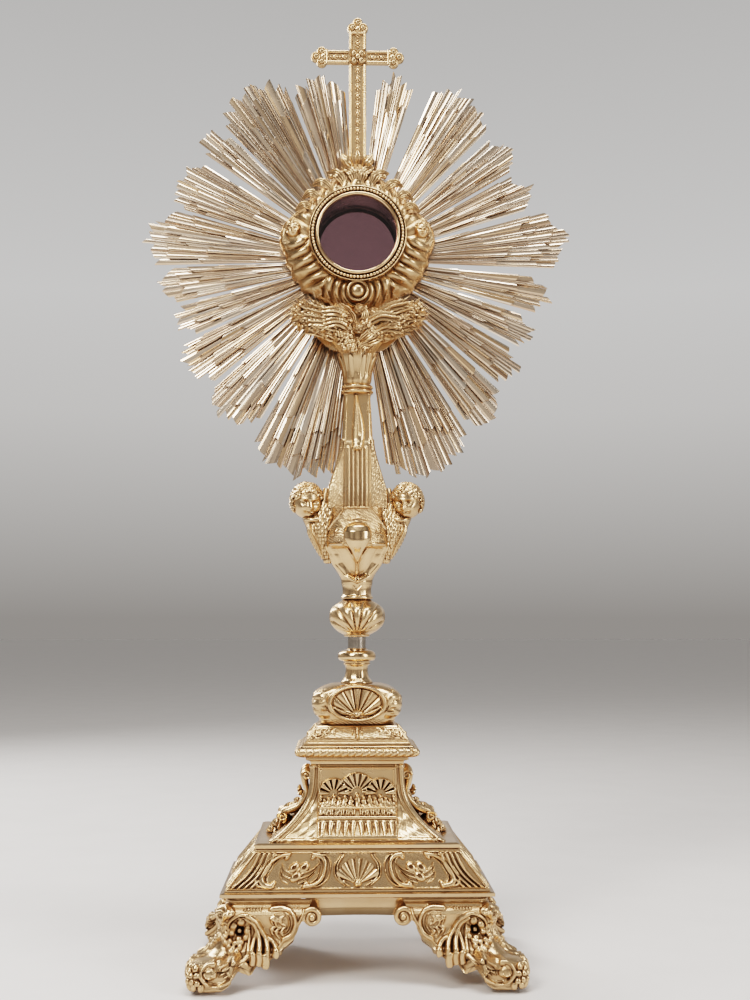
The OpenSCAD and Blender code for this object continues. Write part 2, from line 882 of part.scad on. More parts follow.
// Case tube: clamping flange, door rim, hinge and latch lugs, seat rails for the holder
module luna_tube()
    color("gainsboro")
        difference() {
            union() {
                window_ring(tube_r, bore_r, tube_front, tube_back);
                window_ring(38, bore_r, ring_back, ring_back + 2);
                window_ring(36, bore_r, tube_back - 4, tube_back);
                translate([33.6, tube_back - 4, window_z - 12.3])
                    cube([hinge_x + 2.7 - 33.6, 4, 6]);
                translate([33.6, tube_back - 4, window_z + 6.3])
                    cube([hinge_x + 2.7 - 33.6, 4, 6]);
                for (z = [-12.3, 6.3])
                    translate([hinge_x - 2.7, tube_back - 0.5, window_z + z])
                        cube([5.4, hinge_y - tube_back + 0.5, 6]);
                for (z = [-12.3, 6.3])
                    translate([hinge_x, hinge_y, window_z + z])
                        cylinder(h = 6, r = 2.7, $fn = 24);
                translate([button_x - 4, tube_back - 4, window_z - 4])
                    cube([10, 4, 8]);
                y_rod(button_x, window_z, 4, tube_back - 4, door_back + 0.2);
                for (x = [-7, 3])
                    translate([x, tube_front + 4, window_z - bore_r - 0.6])
                        cube([4, tube_depth - 7, 2.8]);
            }
            y_rod(button_x, window_z, button_screw_r + 0.03, tube_back - 2, door_back + 2);
            translate([hinge_x, hinge_y, window_z - 13])
                cylinder(h = 26, r = pin_r + 0.03, $fn = 24);
        }

// Turned front ring with a skirt over the tube
module front_bezel()
    color("gold")
        translate([0, 0, window_z])
            rotate([90, 0, 0])
                rotate_extrude($fn = 72)
                    polygon([[sight_radius, 22], [sight_radius, 23.2], [31.8, 24.6],
                             [32.8, 24.2], [33.8, 25.6], [35.6, 25.6], [36.7, 24.2],
                             [36.7, 16], [tube_r + 0.1, 16], [tube_r + 0.1, 22]]);

module front_glass()
    color("lightcyan", 0.35)
        window_ring(tube_r - 0.1, 0, tube_front - glass_thick, tube_front);

// ---------------------------------------------------------------- rear door

module door_frame()
    color("gainsboro")
        difference() {
            union() {
                window_ring(36, 29.5, door_front, door_back);
                translate([33.4, door_front + 0.6, window_z - 6])
                    cube([hinge_x - 33.4, 2.6, 12]);
                translate([hinge_x, hinge_y, window_z - 6])
                    cylinder(h = 12, r = 2.7, $fn = 24);
                y_rod(-38 * sin(50), window_z - 38 * cos(50), 3.4, door_front, door_back);
            }
            window_ring(31.9, 0, door_front - 1, door_front + glass_thick + 0.2);
            translate([hinge_x, hinge_y, window_z - 7])
                cylinder(h = 14, r = pin_r + 0.06, $fn = 24);
        }

module rear_glass()
    color("lightcyan", 0.35)
        window_ring(31.7, 0, door_front + 0.2, door_front + glass_thick + 0.2);

module hinge_pin()
    color("silver")
        translate([hinge_x, hinge_y, window_z]) {
            translate([0, 0, -12.8])
                cylinder(h = 25.6, r = pin_r, $fn = 24);
            for (z = [-13.7, 12.5])
                translate([0, 0, z])
                    cylinder(h = 1.2, r = 2.3, $fn = 24);
        }

// Turn button that swings over the edge of the closed door
module turn_button()
    color("gainsboro")
        plate(door_back + 0.5, door_back + 2.5)
            translate([button_x, window_z])
                difference() {
                    union() {
                        circle(4, $fn = 24);
                        translate([-2.6, -12])
                            square([5.2, 12]);
                    }
                    circle(button_screw_r + 0.06, $fn = 24);
                }

module button_screw()
    color("silver") {
        y_rod(button_x, window_z, button_screw_r, tube_back - 1.5, door_back + 3);
        y_rod(button_x, window_z, 2.9, door_back + 2.7, door_back + 4.2);
    }

// ---------------------------------------------------------------- cross

bar = cross_bar / 2;
arm_z = cross_z + cross_height - 32;
top_z = cross_z + cross_height;

// Three-lobed bud at the end of a limb that points up
module bud()
    union() {
        translate([0, -4.1])
            circle(4.1, $fn = 24);
        for (s = [-1, 1])
            translate([s * 4.1, -8.4])
                circle(4.1, $fn = 24);
    }

module cross_outline()
    union() {
        translate([-bar, cross_z + 2])
            square([2 * bar, cross_height - 10]);
        translate([-cross_span / 2 + 6, arm_z - 5.2])
            square([cross_span - 12, 10.4]);
        translate([0, top_z])
            bud();
        for (s = [-1, 1])
            translate([s * cross_span / 2, arm_z])
                rotate(-90 * s)
                    bud();
    }

module cross()
    color("gold")
        difference() {
            union() {
                plate(-1.2, cross_back)
                    cross_outline();
                plate(-4, cross_back)
                    polygon([[-16, cross_z + 8], [-11, cross_z + 2], [0, cross_z + 0.4],
                             [11, cross_z + 2], [16, cross_z + 8], [10, cross_z + 7.4],
                             [bar, cross_z + 14], [-bar, cross_z + 14],
                             [-10, cross_z + 7.4]]);
                plate(-2.4, cross_back)
                    translate([0, arm_z])
                        rotate(45)
                            square(8.6, center = true);
                plate(2.2, ring_front)
                    translate([-3, window_z + 40])
                        square([6, 24]);
            }
            for (z = [[cross_z + 15, arm_z - cross_z - 22], [arm_z + 7, 13]])
                plate(-3, -0.2)
                    translate([-bar + 2, z[0]])
                        square([2 * bar - 4, z[1]]);
            for (s = [-1, 1])
                plate(-3, -0.2)
                    translate([s * 17.4 - 9.8, arm_z - 3.4])
                        square([19.6, 6.8]);
            y_rod(0, window_z + 46, 1.22, 0, 10, 8);
        }

// ---------------------------------------------------------------- nodes

foot_front_left();
foot_front_right();
foot_rear_left();
foot_rear_right();
foot_screws();
base_frame();
long_aprons();
side_aprons();
lower_panel();
middle_ledge();
body_shell();
plaques();
side_scrolls();
cornice();
cap_cover();
cap_dome();
cartouches();
flared_neck();
saucer();
spacer_tube();
shell_knop();
upper_neck();
urn_knot();
cherub_left();
cherub_right();
shaft();
collar_ring();
calyx();
tie_rod();
tie_washer();
tie_nut();
sheaf_left();
sheaf_right();
grape_cluster();
glory_ring();
rays_left_1();
rays_left_2();
rays_left_3();
rays_left_4();
rays_left_5();
rays_right_1();
rays_right_2();
rays_right_3();
rays_right_4();
rays_right_5();
rocaille_frame();
luna_tube();
front_bezel();
front_glass();
putto_left();
putto_right();
cross();
glory_rivets();
case_screws();
door_frame();
rear_glass();
hinge_pin();
turn_button();
button_screw();
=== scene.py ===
"""Looks of the monstrance: cast and chased ornament, cut rays, glass, gilt and silvered metal.

Lengths inside this script are millimetres; emit() turns them into metres.
"""
import math
import bmesh
import bpy
import numpy as np
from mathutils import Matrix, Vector


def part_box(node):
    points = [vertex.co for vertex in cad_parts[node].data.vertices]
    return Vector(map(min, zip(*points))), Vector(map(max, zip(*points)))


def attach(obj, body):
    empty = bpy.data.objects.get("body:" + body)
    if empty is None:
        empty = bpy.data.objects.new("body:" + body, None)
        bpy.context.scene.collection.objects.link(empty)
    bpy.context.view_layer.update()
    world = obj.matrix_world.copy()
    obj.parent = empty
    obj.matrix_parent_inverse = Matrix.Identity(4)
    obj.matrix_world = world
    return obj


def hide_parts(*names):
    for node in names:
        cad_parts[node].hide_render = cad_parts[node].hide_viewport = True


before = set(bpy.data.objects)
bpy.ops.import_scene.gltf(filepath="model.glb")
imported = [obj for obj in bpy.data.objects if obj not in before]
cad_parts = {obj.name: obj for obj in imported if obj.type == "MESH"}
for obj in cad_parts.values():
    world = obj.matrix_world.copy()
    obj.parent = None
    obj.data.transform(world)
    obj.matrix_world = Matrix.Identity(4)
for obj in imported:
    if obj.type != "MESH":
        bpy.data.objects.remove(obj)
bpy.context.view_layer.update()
rng = np.random.default_rng(7)

# ------------------------------------------------------------------ frame sizes

def box(node):
    """Lowest and highest corner of a CAD node in millimetres."""
    low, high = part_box(node)
    return np.array(low) * 1000, np.array(high) * 1000

def level(node):
    """Bottom and top of a CAD node."""
    low, high = box(node)
    return low[2], high[2]

def half(node, axis):
    """Half the size of a CAD node along X (0) or Y (1)."""
    low, high = box(node)
    return (high[axis] - low[axis]) / 2

WINDOW_Z = sum(level("front_glass")) / 2
GLORY_DROP = 14  # the rays spread from a point below the middle of the window
GLORY_Z = WINDOW_Z - GLORY_DROP

# ------------------------------------------------------------------ small maths

def arr(points):
    return np.asarray(points, float)

def unit_rows(v):
    return v / (np.linalg.norm(v, axis=1)[:, None] + 1e-9)

def moving_frame(path, up):
    """Sideways and outward directions at each point of a path."""
    side = unit_rows(np.cross(unit_rows(np.gradient(path, axis=0)), arr(up)))
    return side, np.cross(side, unit_rows(np.gradient(path, axis=0)))

def along_outline(outline, at):
    """Second value of an outline's points, read off at the first."""
    return np.interp(at, *zip(*outline))

def smooth01(t):
    t = np.clip(t, 0, 1)
    return t * t * (3 - 2 * t)

def curve(points, n=24):
    """Catmull-Rom curve through given points, n samples a span."""
    p = arr(points)
    p = np.vstack([2 * p[0] - p[1], p, 2 * p[-1] - p[-2]])
    out = []
    for k in range(1, len(p) - 2):
        t = np.linspace(0, 1, n, endpoint=False)[:, None]
        a, b, c, d = p[k - 1], p[k], p[k + 1], p[k + 2]
        out.append(0.5 * (2 * b + (c - a) * t + (2 * a - 5 * b + 4 * c - d) * t ** 2
                          + (3 * b - a - 3 * c + d) * t ** 3))
    out.append(p[-2][None])
    return np.vstack(out)

def spiral(cx, cy, r0, r1, a0, a1, n=44):
    """Volute from radius r0 to r1 while the angle goes from a0 to a1 degrees."""
    t = np.linspace(0, 1, n)
    r = r0 + (r1 - r0) * t ** 1.15
    a = np.radians(a0 + (a1 - a0) * t)
    return np.column_stack([cx + r * np.cos(a), cy + r * np.sin(a)])

def grain(x, y, z=0.0):
    """Cheap smooth noise from a few sines, about -1 to 1."""
    return (np.sin(1.7 * x + 2.3 * y + 0.9 * z) + np.sin(3.1 * x - 1.9 * y + 2.7 * z + 1.3)
            + np.sin(-2.2 * x + 3.7 * y - 1.6 * z + 4.1) + np.sin(5.3 * x + 4.9 * y + 0.7)) / 4

# ------------------------------------------------------------------ mesh building

class Builder:
    """Collects points, quads and polygons, and makes one object of them."""

    def __init__(self):
        self.points, self.quads, self.polys, self.count = [], [], [], 0

    def add(self, points, quads=(), polys=()):
        points = arr(points).reshape(-1, 3)
        self.points.append(points)
        if len(quads):
            self.quads.append(np.asarray(quads, np.int64) + self.count)
        for poly in polys:
            self.polys.append([int(i) + self.count for i in poly])
        self.count += len(points)
        return self

    def join(self, other, move=lambda p: p):
        self.add(move(np.vstack(other.points)),
                 np.vstack(other.quads) if other.quads else (), other.polys)
        return self

    def mirrored(self, axis):
        """A copy with one coordinate negated."""
        sign = np.ones(3)
        sign[axis] = -1
        return Builder().join(self, lambda p: p * sign)

    def emit(self, name, material, body="stand", slot="gilt_brass", replaces=(), crease=38):
        points = np.vstack(self.points) * 0.001
        quads = np.vstack(self.quads) if self.quads else np.zeros((0, 4), np.int64)
        corners = np.concatenate([quads.ravel()] + [np.array(p) for p in self.polys])
        sizes = np.array([4] * len(quads) + [len(p) for p in self.polys])
        mesh = bpy.data.meshes.new(name)
        mesh.vertices.add(len(points))
        mesh.vertices.foreach_set("co", points.astype(np.float32).ravel())
        mesh.loops.add(len(corners))
        mesh.loops.foreach_set("vertex_index", corners.astype(np.int32))
        mesh.polygons.add(len(sizes))
        starts = np.concatenate([[0], np.cumsum(sizes)[:-1]])
        mesh.polygons.foreach_set("loop_start", starts.astype(np.int32))
        mesh.update(calc_edges=True)
        work = bmesh.new()
        work.from_mesh(mesh)
        bmesh.ops.remove_doubles(work, verts=work.verts, dist=1e-6)
        bmesh.ops.recalc_face_normals(work, faces=work.faces)
        for face in work.faces:
            face.smooth = True
        work.to_mesh(mesh)
        work.free()
        mesh.set_sharp_from_angle(angle=math.radians(crease))
        piece = bpy.data.objects.new(name, mesh)
        bpy.context.scene.collection.objects.link(piece)
        mesh.materials.append(material)
        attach(piece, body)
        if replaces:
            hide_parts(*replaces)
        return piece

# Cosine and sine of each quarter turn
QUARTERS = [(1, 0), (0, 1), (-1, 0), (0, -1)]

def grid_quads(nu, nv, wrap_u=False, wrap_v=False):
    i = np.arange(nu if wrap_u else nu - 1)[:, None]
    j = np.arange(nv if wrap_v else nv - 1)[None, :]
    i1, j1 = (i + 1) % nu, (j + 1) % nv
    return np.stack([i * nv + j, i1 * nv + j, i1 * nv + j1, i * nv + j1], -1).reshape(-1, 4)

def slab(surface, normal, height, back=0.8):
    """Closed relief plate: a front raised by height, plain sides and a plain back."""
    nu, nv = height.shape
    front = surface + normal * height[..., None]
    rear0 = surface[0] - normal[0] * back
    rear1 = surface[-1] - normal[-1] * back
    o0, o1, last = nu * nv, nu * nv + nv, (nu - 1) * nv
    j = np.arange(nv - 1)
    quads = np.vstack([
        grid_quads(nu, nv),
        np.stack([o0 + j, o0 + j + 1, o1 + j + 1, o1 + j], -1),
        np.stack([j, o0 + j, o0 + j + 1, j + 1], -1),
        np.stack([last + j, last + j + 1, o1 + j + 1, o1 + j], -1)])
    rows = np.arange(nu) * nv
    polys = [list(rows) + [o1, o0], list(rows + nv - 1)[::-1] + [o0 + nv - 1, o1 + nv - 1]]
    return Builder().add(np.vstack([front.reshape(-1, 3), rear0, rear1]), quads, polys)

def loop_solid(rings):
    """Closed solid from rings of points (k, n, 3): walls and two end faces."""
    rings = arr(rings)
    k, n = rings.shape[:2]
    polys = [list(range(n))[::-1], list(range((k - 1) * n, k * n))]
    return Builder().add(rings, grid_quads(k, n, wrap_v=True), polys)

def lathe(profile, n=96, shape=None):
    """Turned solid from (radius, z) points; shape(radius, angle, z) may model the radius."""
    p = arr(profile)
    a = np.linspace(0, 2 * np.pi, n, endpoint=False)
    r, z = np.repeat(p[:, :1], n, 1), np.repeat(p[:, 1:], n, 1)
    if shape:
        r = shape(r, a[None, :], z)
    return loop_solid(np.stack([r * np.sin(a), -r * np.cos(a), z], -1))

def sweep(path, radius, n=12, flat=1.0, up=(0, -1, 0)):
    """Round or flattened bar along a path, with a radius for each point."""
    path = arr(path)
    side, out = moving_frame(path, up)
    a = np.linspace(0, 2 * np.pi, n, endpoint=False)
    radius = np.broadcast_to(arr(radius), (len(path),))[:, None, None]
    ring = (side[:, None] * np.cos(a)[None, :, None]
            + out[:, None] * flat * np.sin(a)[None, :, None]) * radius
    return loop_solid(path[:, None] + ring)

def ball(centre, radius, n=14, m=9, squash=(1, 1, 1)):
    """Closed round bead."""
    t = np.linspace(0.12, np.pi - 0.12, m)[:, None]
    a = np.linspace(0, 2 * np.pi, n, endpoint=False)[None, :]
    ring = np.stack([np.sin(t) * np.cos(a), np.sin(t) * np.sin(a),
                     np.cos(t) * np.ones_like(a)], -1)
    return loop_solid(arr(centre) + ring * radius * arr(squash))

def on_plane(path, y):
    """X-Z points lifted to a plane at depth y."""
    path = arr(path)
    return np.column_stack([path[:, 0], np.broadcast_to(y, len(path)), path[:, 1]])

# ------------------------------------------------------------------ chased relief

class Relief:
    """Height map of chased ornament on a patch, x about the middle, y from the lower edge."""

    def __init__(self, width, height, step, twin=True):
        self.x = np.linspace(-width / 2, width / 2, int(width / step) + 1)
        self.y = np.linspace(0, height, int(height / step) + 1)
        self.X, self.Y = np.meshgrid(self.x, self.y, indexing="ij")
        self.H = np.zeros_like(self.X)
        self.twin = twin

    def _part(self, points, reach):
        low, high = points.min(0) - reach, points.max(0) + reach
        i = np.searchsorted(self.x, [low[0], high[0]])
        j = np.searchsorted(self.y, [low[1], high[1]])
        return slice(max(i[0] - 1, 0), i[1] + 1), slice(max(j[0] - 1, 0), j[1] + 1)

    def _sides(self, points):
        points = arr(points)
        if not self.twin or (len(points) == 1 and abs(points[0, 0]) < 5e-7):
            return [points]
        return [points, points * [-1, 1]]

    def stroke(self, points, width, height, ends=(1, 1), base=0.0, sink=False):
        """Rounded ridge along a path, or a groove with sink."""
        for path in self._sides(points):
            part = self._part(path, width)
            X, Y = self.X[part], self.Y[part]
            best = np.full(X.shape, 1e9)
            along = np.zeros(X.shape)
            for k in range(len(path) - 1):
                a, b = path[k], path[k + 1]
                ab = b - a
                t = ((X - a[0]) * ab[0] + (Y - a[1]) * ab[1]) / (ab @ ab + 1e-12)
                t = np.clip(t, 0, 1)
                d = np.hypot(X - a[0] - t * ab[0], Y - a[1] - t * ab[1])
                near = d < best
                best[near] = d[near]
                along[near] = ((k + t) / (len(path) - 1))[near]
            scale = ends[0] + (ends[1] - ends[0]) * along
            shape = np.sqrt(np.clip(1 - (best / (width / 2 * scale + 1e-6)) ** 2, 0, 1))
            rise = shape * height * np.sqrt(scale)
            if sink:
                self.H[part] -= rise
            else:
                self.H[part] = np.maximum(self.H[part], np.where(shape > 0, base + rise, -9))
        return self

    def dome(self, x, y, rx, ry, height, base=0.0):
        for p in self._sides([[x, y]]):
            part = self._part(p, max(rx, ry))
            d = ((self.X[part] - p[0, 0]) / rx) ** 2 + ((self.Y[part] - p[0, 1]) / ry) ** 2
            shape = np.sqrt(np.clip(1 - d, 0, 1))
            self.H[part] = np.maximum(self.H[part],
                                      np.where(shape > 0, base + height * shape, -9))
        return self

    def beads(self, points, radius, height, base=0.0):
        for x, y in points:
            self.dome(x, y, radius, radius, height, base)
        return self

    def fan(self, x, y, r0, r1, a0, a1, ribs, height, base=0.0):
        """Scallop shell of ribs spreading from a point, angles from upright."""
        for p in self._sides([[x, y]]):
            part = self._part(p, r1 * 1.05)
            dx, dy = self.X[part] - p[0, 0], self.Y[part] - p[0, 1]
            r, a = np.hypot(dx, dy), np.degrees(np.arctan2(dx, dy))
            t = (a - a0) / (a1 - a0)
            rib = np.abs(np.sin(np.pi * ribs * t)) ** 0.6
            inside = (t > 0) & (t < 1) & (r > r0) & (r < r1 * (0.88 + 0.12 * rib))
            rise = height * (0.3 + 0.7 * rib) * np.clip(r / r1, 0.25, 1) ** 0.5
            self.H[part] = np.maximum(self.H[part], np.where(inside, base + rise, -9))
        return self

    def leaf(self, path, width, height, lobes=5, base=0.0):
        """Acanthus leaf: a midrib with curling side lobes."""
        path = arr(path)
        n = len(path)
        for k in range(lobes):
            t = (k + 0.4) / (lobes + 0.4)
            i = int(t * (n - 1))
            ahead = path[min(i + 2, n - 1)] - path[max(i - 2, 0)]
            ahead /= np.linalg.norm(ahead) + 1e-9
            side = arr([-ahead[1], ahead[0]])
            reach = width * (math.sin(math.pi * (0.18 + 0.74 * t)) ** 0.8)
            for s in (-1, 1):
                lobe = curve([path[i], path[i] + ahead * reach * 0.35 + side * s * reach * 0.55,
                              path[i] + ahead * reach * 0.95 + side * s * reach * 0.9], 6)
                self.stroke(lobe, width * 0.62, height * 0.85, (1, 0.35), base)
        return self.stroke(path, width * 0.34, height, (1, 0.4), base)

    def volute(self, x, y, radius, a0, turns, width, height, base=0.0):
        """Scroll that winds in from the rim to a round eye."""
        path = spiral(x, y, radius, radius * 0.2, a0, a0 + 360 * turns)
        self.stroke(path, width, height, (1, 0.6), base)
        return self.dome(x, y, radius * 0.32, radius * 0.32, height * 1.1, base)

    def ground(self, size, depth):
        """Matted ground: a fine punched texture where nothing is raised."""
        wave = grain(self.X * 6.28 / size, self.Y * 6.28 / size)
        self.H += np.where(self.H < 0.15, depth * wave, 0)
        return self

    def border(self, width, height, inset=0.0):
        """Plain raised band round the edge of the patch."""
        x1, y1 = self.x[-1] - inset, self.y[-1] - inset
        d = np.minimum(x1 - np.abs(self.X), np.minimum(self.Y - inset, y1 - self.Y))
        shape = np.sqrt(np.clip(1 - ((d - width / 2) / (width / 2)) ** 2, 0, 1))
        self.H = np.maximum(self.H, height * shape)
        return self

def panel(relief, low, high, back=0.8):
    """Relief on a flat or tapering panel. low and high are the lower and upper edges, each
    as (half width, y, z); the panel leans between them."""
    t = relief.Y / relief.y[-1]
    u = relief.X / relief.x[-1]
    wide = low[0] + (high[0] - low[0]) * t
    surface = np.stack([u * wide, low[1] + (high[1] - low[1]) * t,
                        low[2] + (high[2] - low[2]) * t], -1)
    run, rise = high[1] - low[1], high[2] - low[2]
    normal = arr([0, -rise, run]) / math.hypot(run, rise)
    return slab(surface, np.broadcast_to(normal, surface.shape), relief.H, back)

def turn_side(points, quarter):
    """Turns points a number of quarters about Z."""
    c, s = QUARTERS[quarter % 4]
    x, y, z = points[:, 0], points[:, 1], points[:, 2]
    return np.column_stack([c * x - s * y, s * x + c * y, z])

def both_ways(part):
    """The part and a copy turned half a turn about Z."""
    return Builder().join(part).join(part, lambda p: p * [-1, -1, 1])

SIDES = ((-1, "left"), (1, "right"))

def four_sides(front, side):
    """The front panel on the front and back, the side panel on the two ends."""
    out = Builder()
    for quarter, piece in ((0, front), (2, front), (1, side), (3, side)):
        out.join(piece, lambda p, q=quarter: turn_side(p, q))
    return out

# ------------------------------------------------------------------ materials

def new_material(name):
    """A node material with its tree, its shader and the object's own coordinates."""
    made = bpy.data.materials.new(name)
    made.use_nodes = True
    tree = made.node_tree
    where = node(tree, "ShaderNodeTexCoord").outputs["Object"]
    return made, tree, tree.nodes["Principled BSDF"], where

def node(tree, kind, **values):
    made = tree.nodes.new(kind)
    for key, value in values.items():
        setattr(made, key, value)
    return made

def noise_at(tree, where, scale, detail=4.0, rough=0.55):
    made = node(tree, "ShaderNodeTexNoise")
    made.inputs["Scale"].default_value = scale
    made.inputs["Detail"].default_value = detail
    made.inputs["Roughness"].default_value = rough
    tree.links.new(where, made.inputs["Vector"])
    return made.outputs["Fac"]

def ramp(tree, value, stops):
    made = node(tree, "ShaderNodeValToRGB")
    steps = made.color_ramp.elements
    while len(steps) < len(stops):
        steps.new(0.5)
    for step, (place, shade) in zip(steps, stops):
        step.position = place
        step.color = (*shade, 1) if len(shade) == 3 else (shade[0],) * 3 + (1,)
    tree.links.new(value, made.inputs["Fac"])
    return made.outputs["Color"]

def gate(tree, value, low, high):
    """0 below low and 1 above high."""
    return ramp(tree, value, [(low, (0.0,)), (high, (1.0,))])

def feed(tree, sockets, values):
    """Links each socket to another one, or sets it to a number or a colour."""
    for socket, value in zip(sockets, values):
        if isinstance(value, bpy.types.NodeSocket):
            tree.links.new(value, socket)
        else:
            socket.default_value = value if isinstance(value, (int, float)) else (*value, 1)

def mix(tree, factor, a, b, kind="MIX"):
    made = node(tree, "ShaderNodeMix", data_type="RGBA", blend_type=kind)
    feed(tree, (made.inputs[0], made.inputs[6], made.inputs[7]), (factor, a, b))
    return made.outputs[2]

def sums(tree, op, a, b, c=0.5):
    made = node(tree, "ShaderNodeMath", operation=op)
    feed(tree, made.inputs, (a, b, c))
    return made.outputs[0]

def metal(name, bright, deep, rough=(0.18, 0.34), grain_size=420, bump=0.12, recess=0.004,
          strips=None, brushed=None):
    """Metal with painted shade: dark in the hollows that ambient occlusion finds (painted shade), bright
    in the open and lighter on sharp edges, duller in the hollows, with a fine grain. strips tints each
    separate blade; brushed stretches the grain along an axis."""
    made, tree, shader, where = new_material(name)
    shader.inputs["Metallic"].default_value = 1.0
    cloud = noise_at(tree, where, 38, 5.0)
    speck = noise_at(tree, where, grain_size, 3.0)
    if brushed:
        turn = node(tree, "ShaderNodeMapping")
        turn.inputs["Scale"].default_value = brushed
        tree.links.new(where, turn.inputs["Vector"])
        speck = noise_at(tree, turn.outputs["Vector"], grain_size, 2.0)
    # Painted shade: ambient occlusion finds hollows and crevices, and further down the colour there is
    # darkened to the deep colour. It stands in for shade and dark reflections.
    hollow = node(tree, "ShaderNodeAmbientOcclusion", samples=6)
    hollow.inputs["Distance"].default_value = recess
    open_sky = gate(tree, hollow.outputs["AO"], 0.34, 0.94)
    edge = gate(tree, node(tree, "ShaderNodeNewGeometry").outputs["Pointiness"], 0.47, 0.53)
    tone = mix(tree, gate(tree, cloud, 0.32, 0.7),
               bright, [0.80 * bright[0] + 0.20 * deep[0], 0.72 * bright[1] + 0.28 * deep[1],
                        0.62 * bright[2] + 0.38 * deep[2]])
    # painted shade: the hollows take the deep colour
    tone = mix(tree, open_sky, deep, tone)
    tone = mix(tree, sums(tree, "MULTIPLY", edge, 0.35), tone,
               [min(1, 1.08 * c) for c in bright])
    if strips:
        island = node(tree, "ShaderNodeNewGeometry").outputs["Random Per Island"]
        tint = ramp(tree, island, strips)
        tone = mix(tree, 0.85, tone, tint, "MULTIPLY")
    tree.links.new(tone, shader.inputs["Base Color"])
    dull = ramp(tree, cloud, [(0.3, (rough[0],)), (0.75, (rough[1],))])
    dull = mix(tree, open_sky, (min(1, rough[1] + 0.22),) * 3, dull)
    tree.links.new(dull, shader.inputs["Roughness"])
    raised = node(tree, "ShaderNodeBump")
    raised.inputs["Strength"].default_value = bump
    raised.inputs["Distance"].default_value = 0.0004
    tree.links.new(speck, raised.inputs["Height"])
    tree.links.new(raised.outputs["Normal"], shader.inputs["Normal"])
    return made

def glass(name):
    made, tree, shader, where = new_material(name)
    # Painted shade: the dark pinkish tint stands in for the dark view through the window, not a colour of
    # the glass.
    shader.inputs["Base Color"].default_value = (0.45, 0.335, 0.355, 1)
    shader.inputs["Transmission Weight"].default_value = 1.0
    shader.inputs["IOR"].default_value = 1.5
    haze = ramp(tree, noise_at(tree, where, 60, 3.0), [(0.4, (0.015,)), (0.8, (0.06,))])
    tree.links.new(haze, shader.inputs["Roughness"])
    return made

def plain(name, colour, rough, speckle):
    """Matt floor or wall with a faint mottling."""
    made, tree, shader, where = new_material(name)
    mottled = mix(tree, gate(tree, noise_at(tree, where, 14), 0.35, 0.65),
                  colour, [c * speckle for c in colour])
    tree.links.new(mottled, shader.inputs["Base Color"])
    shader.inputs["Roughness"].default_value = rough
    return made

# GOLD_DEEP and the other deep colours are the painted shade that the hollows take. Part of each also
# darkens the mottled tone.
GOLD, GOLD_DEEP = (0.70, 0.495, 0.30), (0.13, 0.064, 0.030)
gilt = metal("gilt_cast", GOLD, GOLD_DEEP, (0.20, 0.36), 520, 0.22, 0.0045)
gilt_fine = metal("gilt_chased", GOLD, GOLD_DEEP, (0.20, 0.34), 900, 0.18, 0.0025)
gilt_smooth = metal("gilt_polished", (0.60, 0.43, 0.27), (0.20, 0.105, 0.05), (0.07, 0.16),
                    260, 0.03, 0.006)
gilt_plain = metal("gilt_turned", (0.73, 0.52, 0.32), (0.19, 0.095, 0.042), (0.13, 0.26), 300,
                   0.06, 0.004)
gilt_frame = metal("gilt_frame", (0.60, 0.42, 0.25), (0.11, 0.054, 0.025), (0.20, 0.34), 520,
                   0.20, 0.004)
silver_rays = metal(
    "silvered_rays", (0.82, 0.74, 0.65), (0.14, 0.08, 0.05), (0.16, 0.28), 300, 0.05, 0.003,
    strips=[(0.0, (1.0, 0.97, 0.93)), (0.22, (0.88, 0.72, 0.58)), (0.44, (1.0, 0.99, 0.97)),
            (0.62, (0.90, 0.66, 0.42)), (0.80, (1.0, 0.95, 0.88)), (1.0, (0.62, 0.42, 0.30))])
silver_back = metal("silvered_sheet", (0.80, 0.77, 0.72), (0.32, 0.25, 0.19), (0.22, 0.38),
                    300, 0.06, 0.005, brushed=(1, 1, 0.08))
silver_case = metal("silvered_case", (0.78, 0.76, 0.73), (0.26, 0.22, 0.19), (0.20, 0.32),
                    350, 0.05, 0.004)
# silver_tube is a darker copy of the silvered metal: painted shade and painted dark reflection, standing
# in for the dark surroundings that the tube reflects.
silver_tube = metal("silvered_tube", (0.54, 0.49, 0.43), (0.20, 0.16, 0.13), (0.14, 0.24),
                    350, 0.04, 0.004)
steel = metal("steel_rod", (0.56, 0.56, 0.57), (0.20, 0.19, 0.18), (0.26, 0.40), 500, 0.08,
              0.003, brushed=(1, 1, 0.1))
clear = glass("clear_glass")

# ------------------------------------------------------------------ camera and stage

camera = bpy.data.objects.new("camera", bpy.data.cameras.new("camera"))
camera.data.lens = 45.14
camera.location = (-0.0144, -0.945, 0.2508)
camera.rotation_euler = (math.radians(95.38), 0, math.radians(-1.7))
camera.data.clip_start = 0.02
bpy.context.scene.collection.objects.link(camera)
bpy.context.scene.camera = camera

def area_light(name, place, aim, size, power, shade=(1, 1, 1)):
    lamp = bpy.data.lights.new(name, "AREA")
    lamp.shape, lamp.size, lamp.size_y = "RECTANGLE", size[0], size[1]
    lamp.energy, lamp.color = power, shade
    made = bpy.data.objects.new(name, lamp)
    made.location = place
    made.rotation_euler = (Vector(aim) - Vector(place)).to_track_quat("-Z", "Y").to_euler()
    bpy.context.scene.collection.objects.link(made)
    return made

area_light("key", (-1.0, -1.5, 1.7), (0, 0, 0.42), (0.7, 0.9), 34, (1.0, 0.97, 0.92))
area_light("fill", (1.5, -1.0, 0.9), (0, 0, 0.38), (0.5, 1.2), 14, (1.0, 0.98, 0.95))
area_light("top", (0.1, -0.4, 1.9), (0, 0, 0.3), (1.1, 0.5), 19)
area_light("rim", (-0.9, 1.1, 1.1), (0, 0, 0.45), (0.4, 1.0), 14)

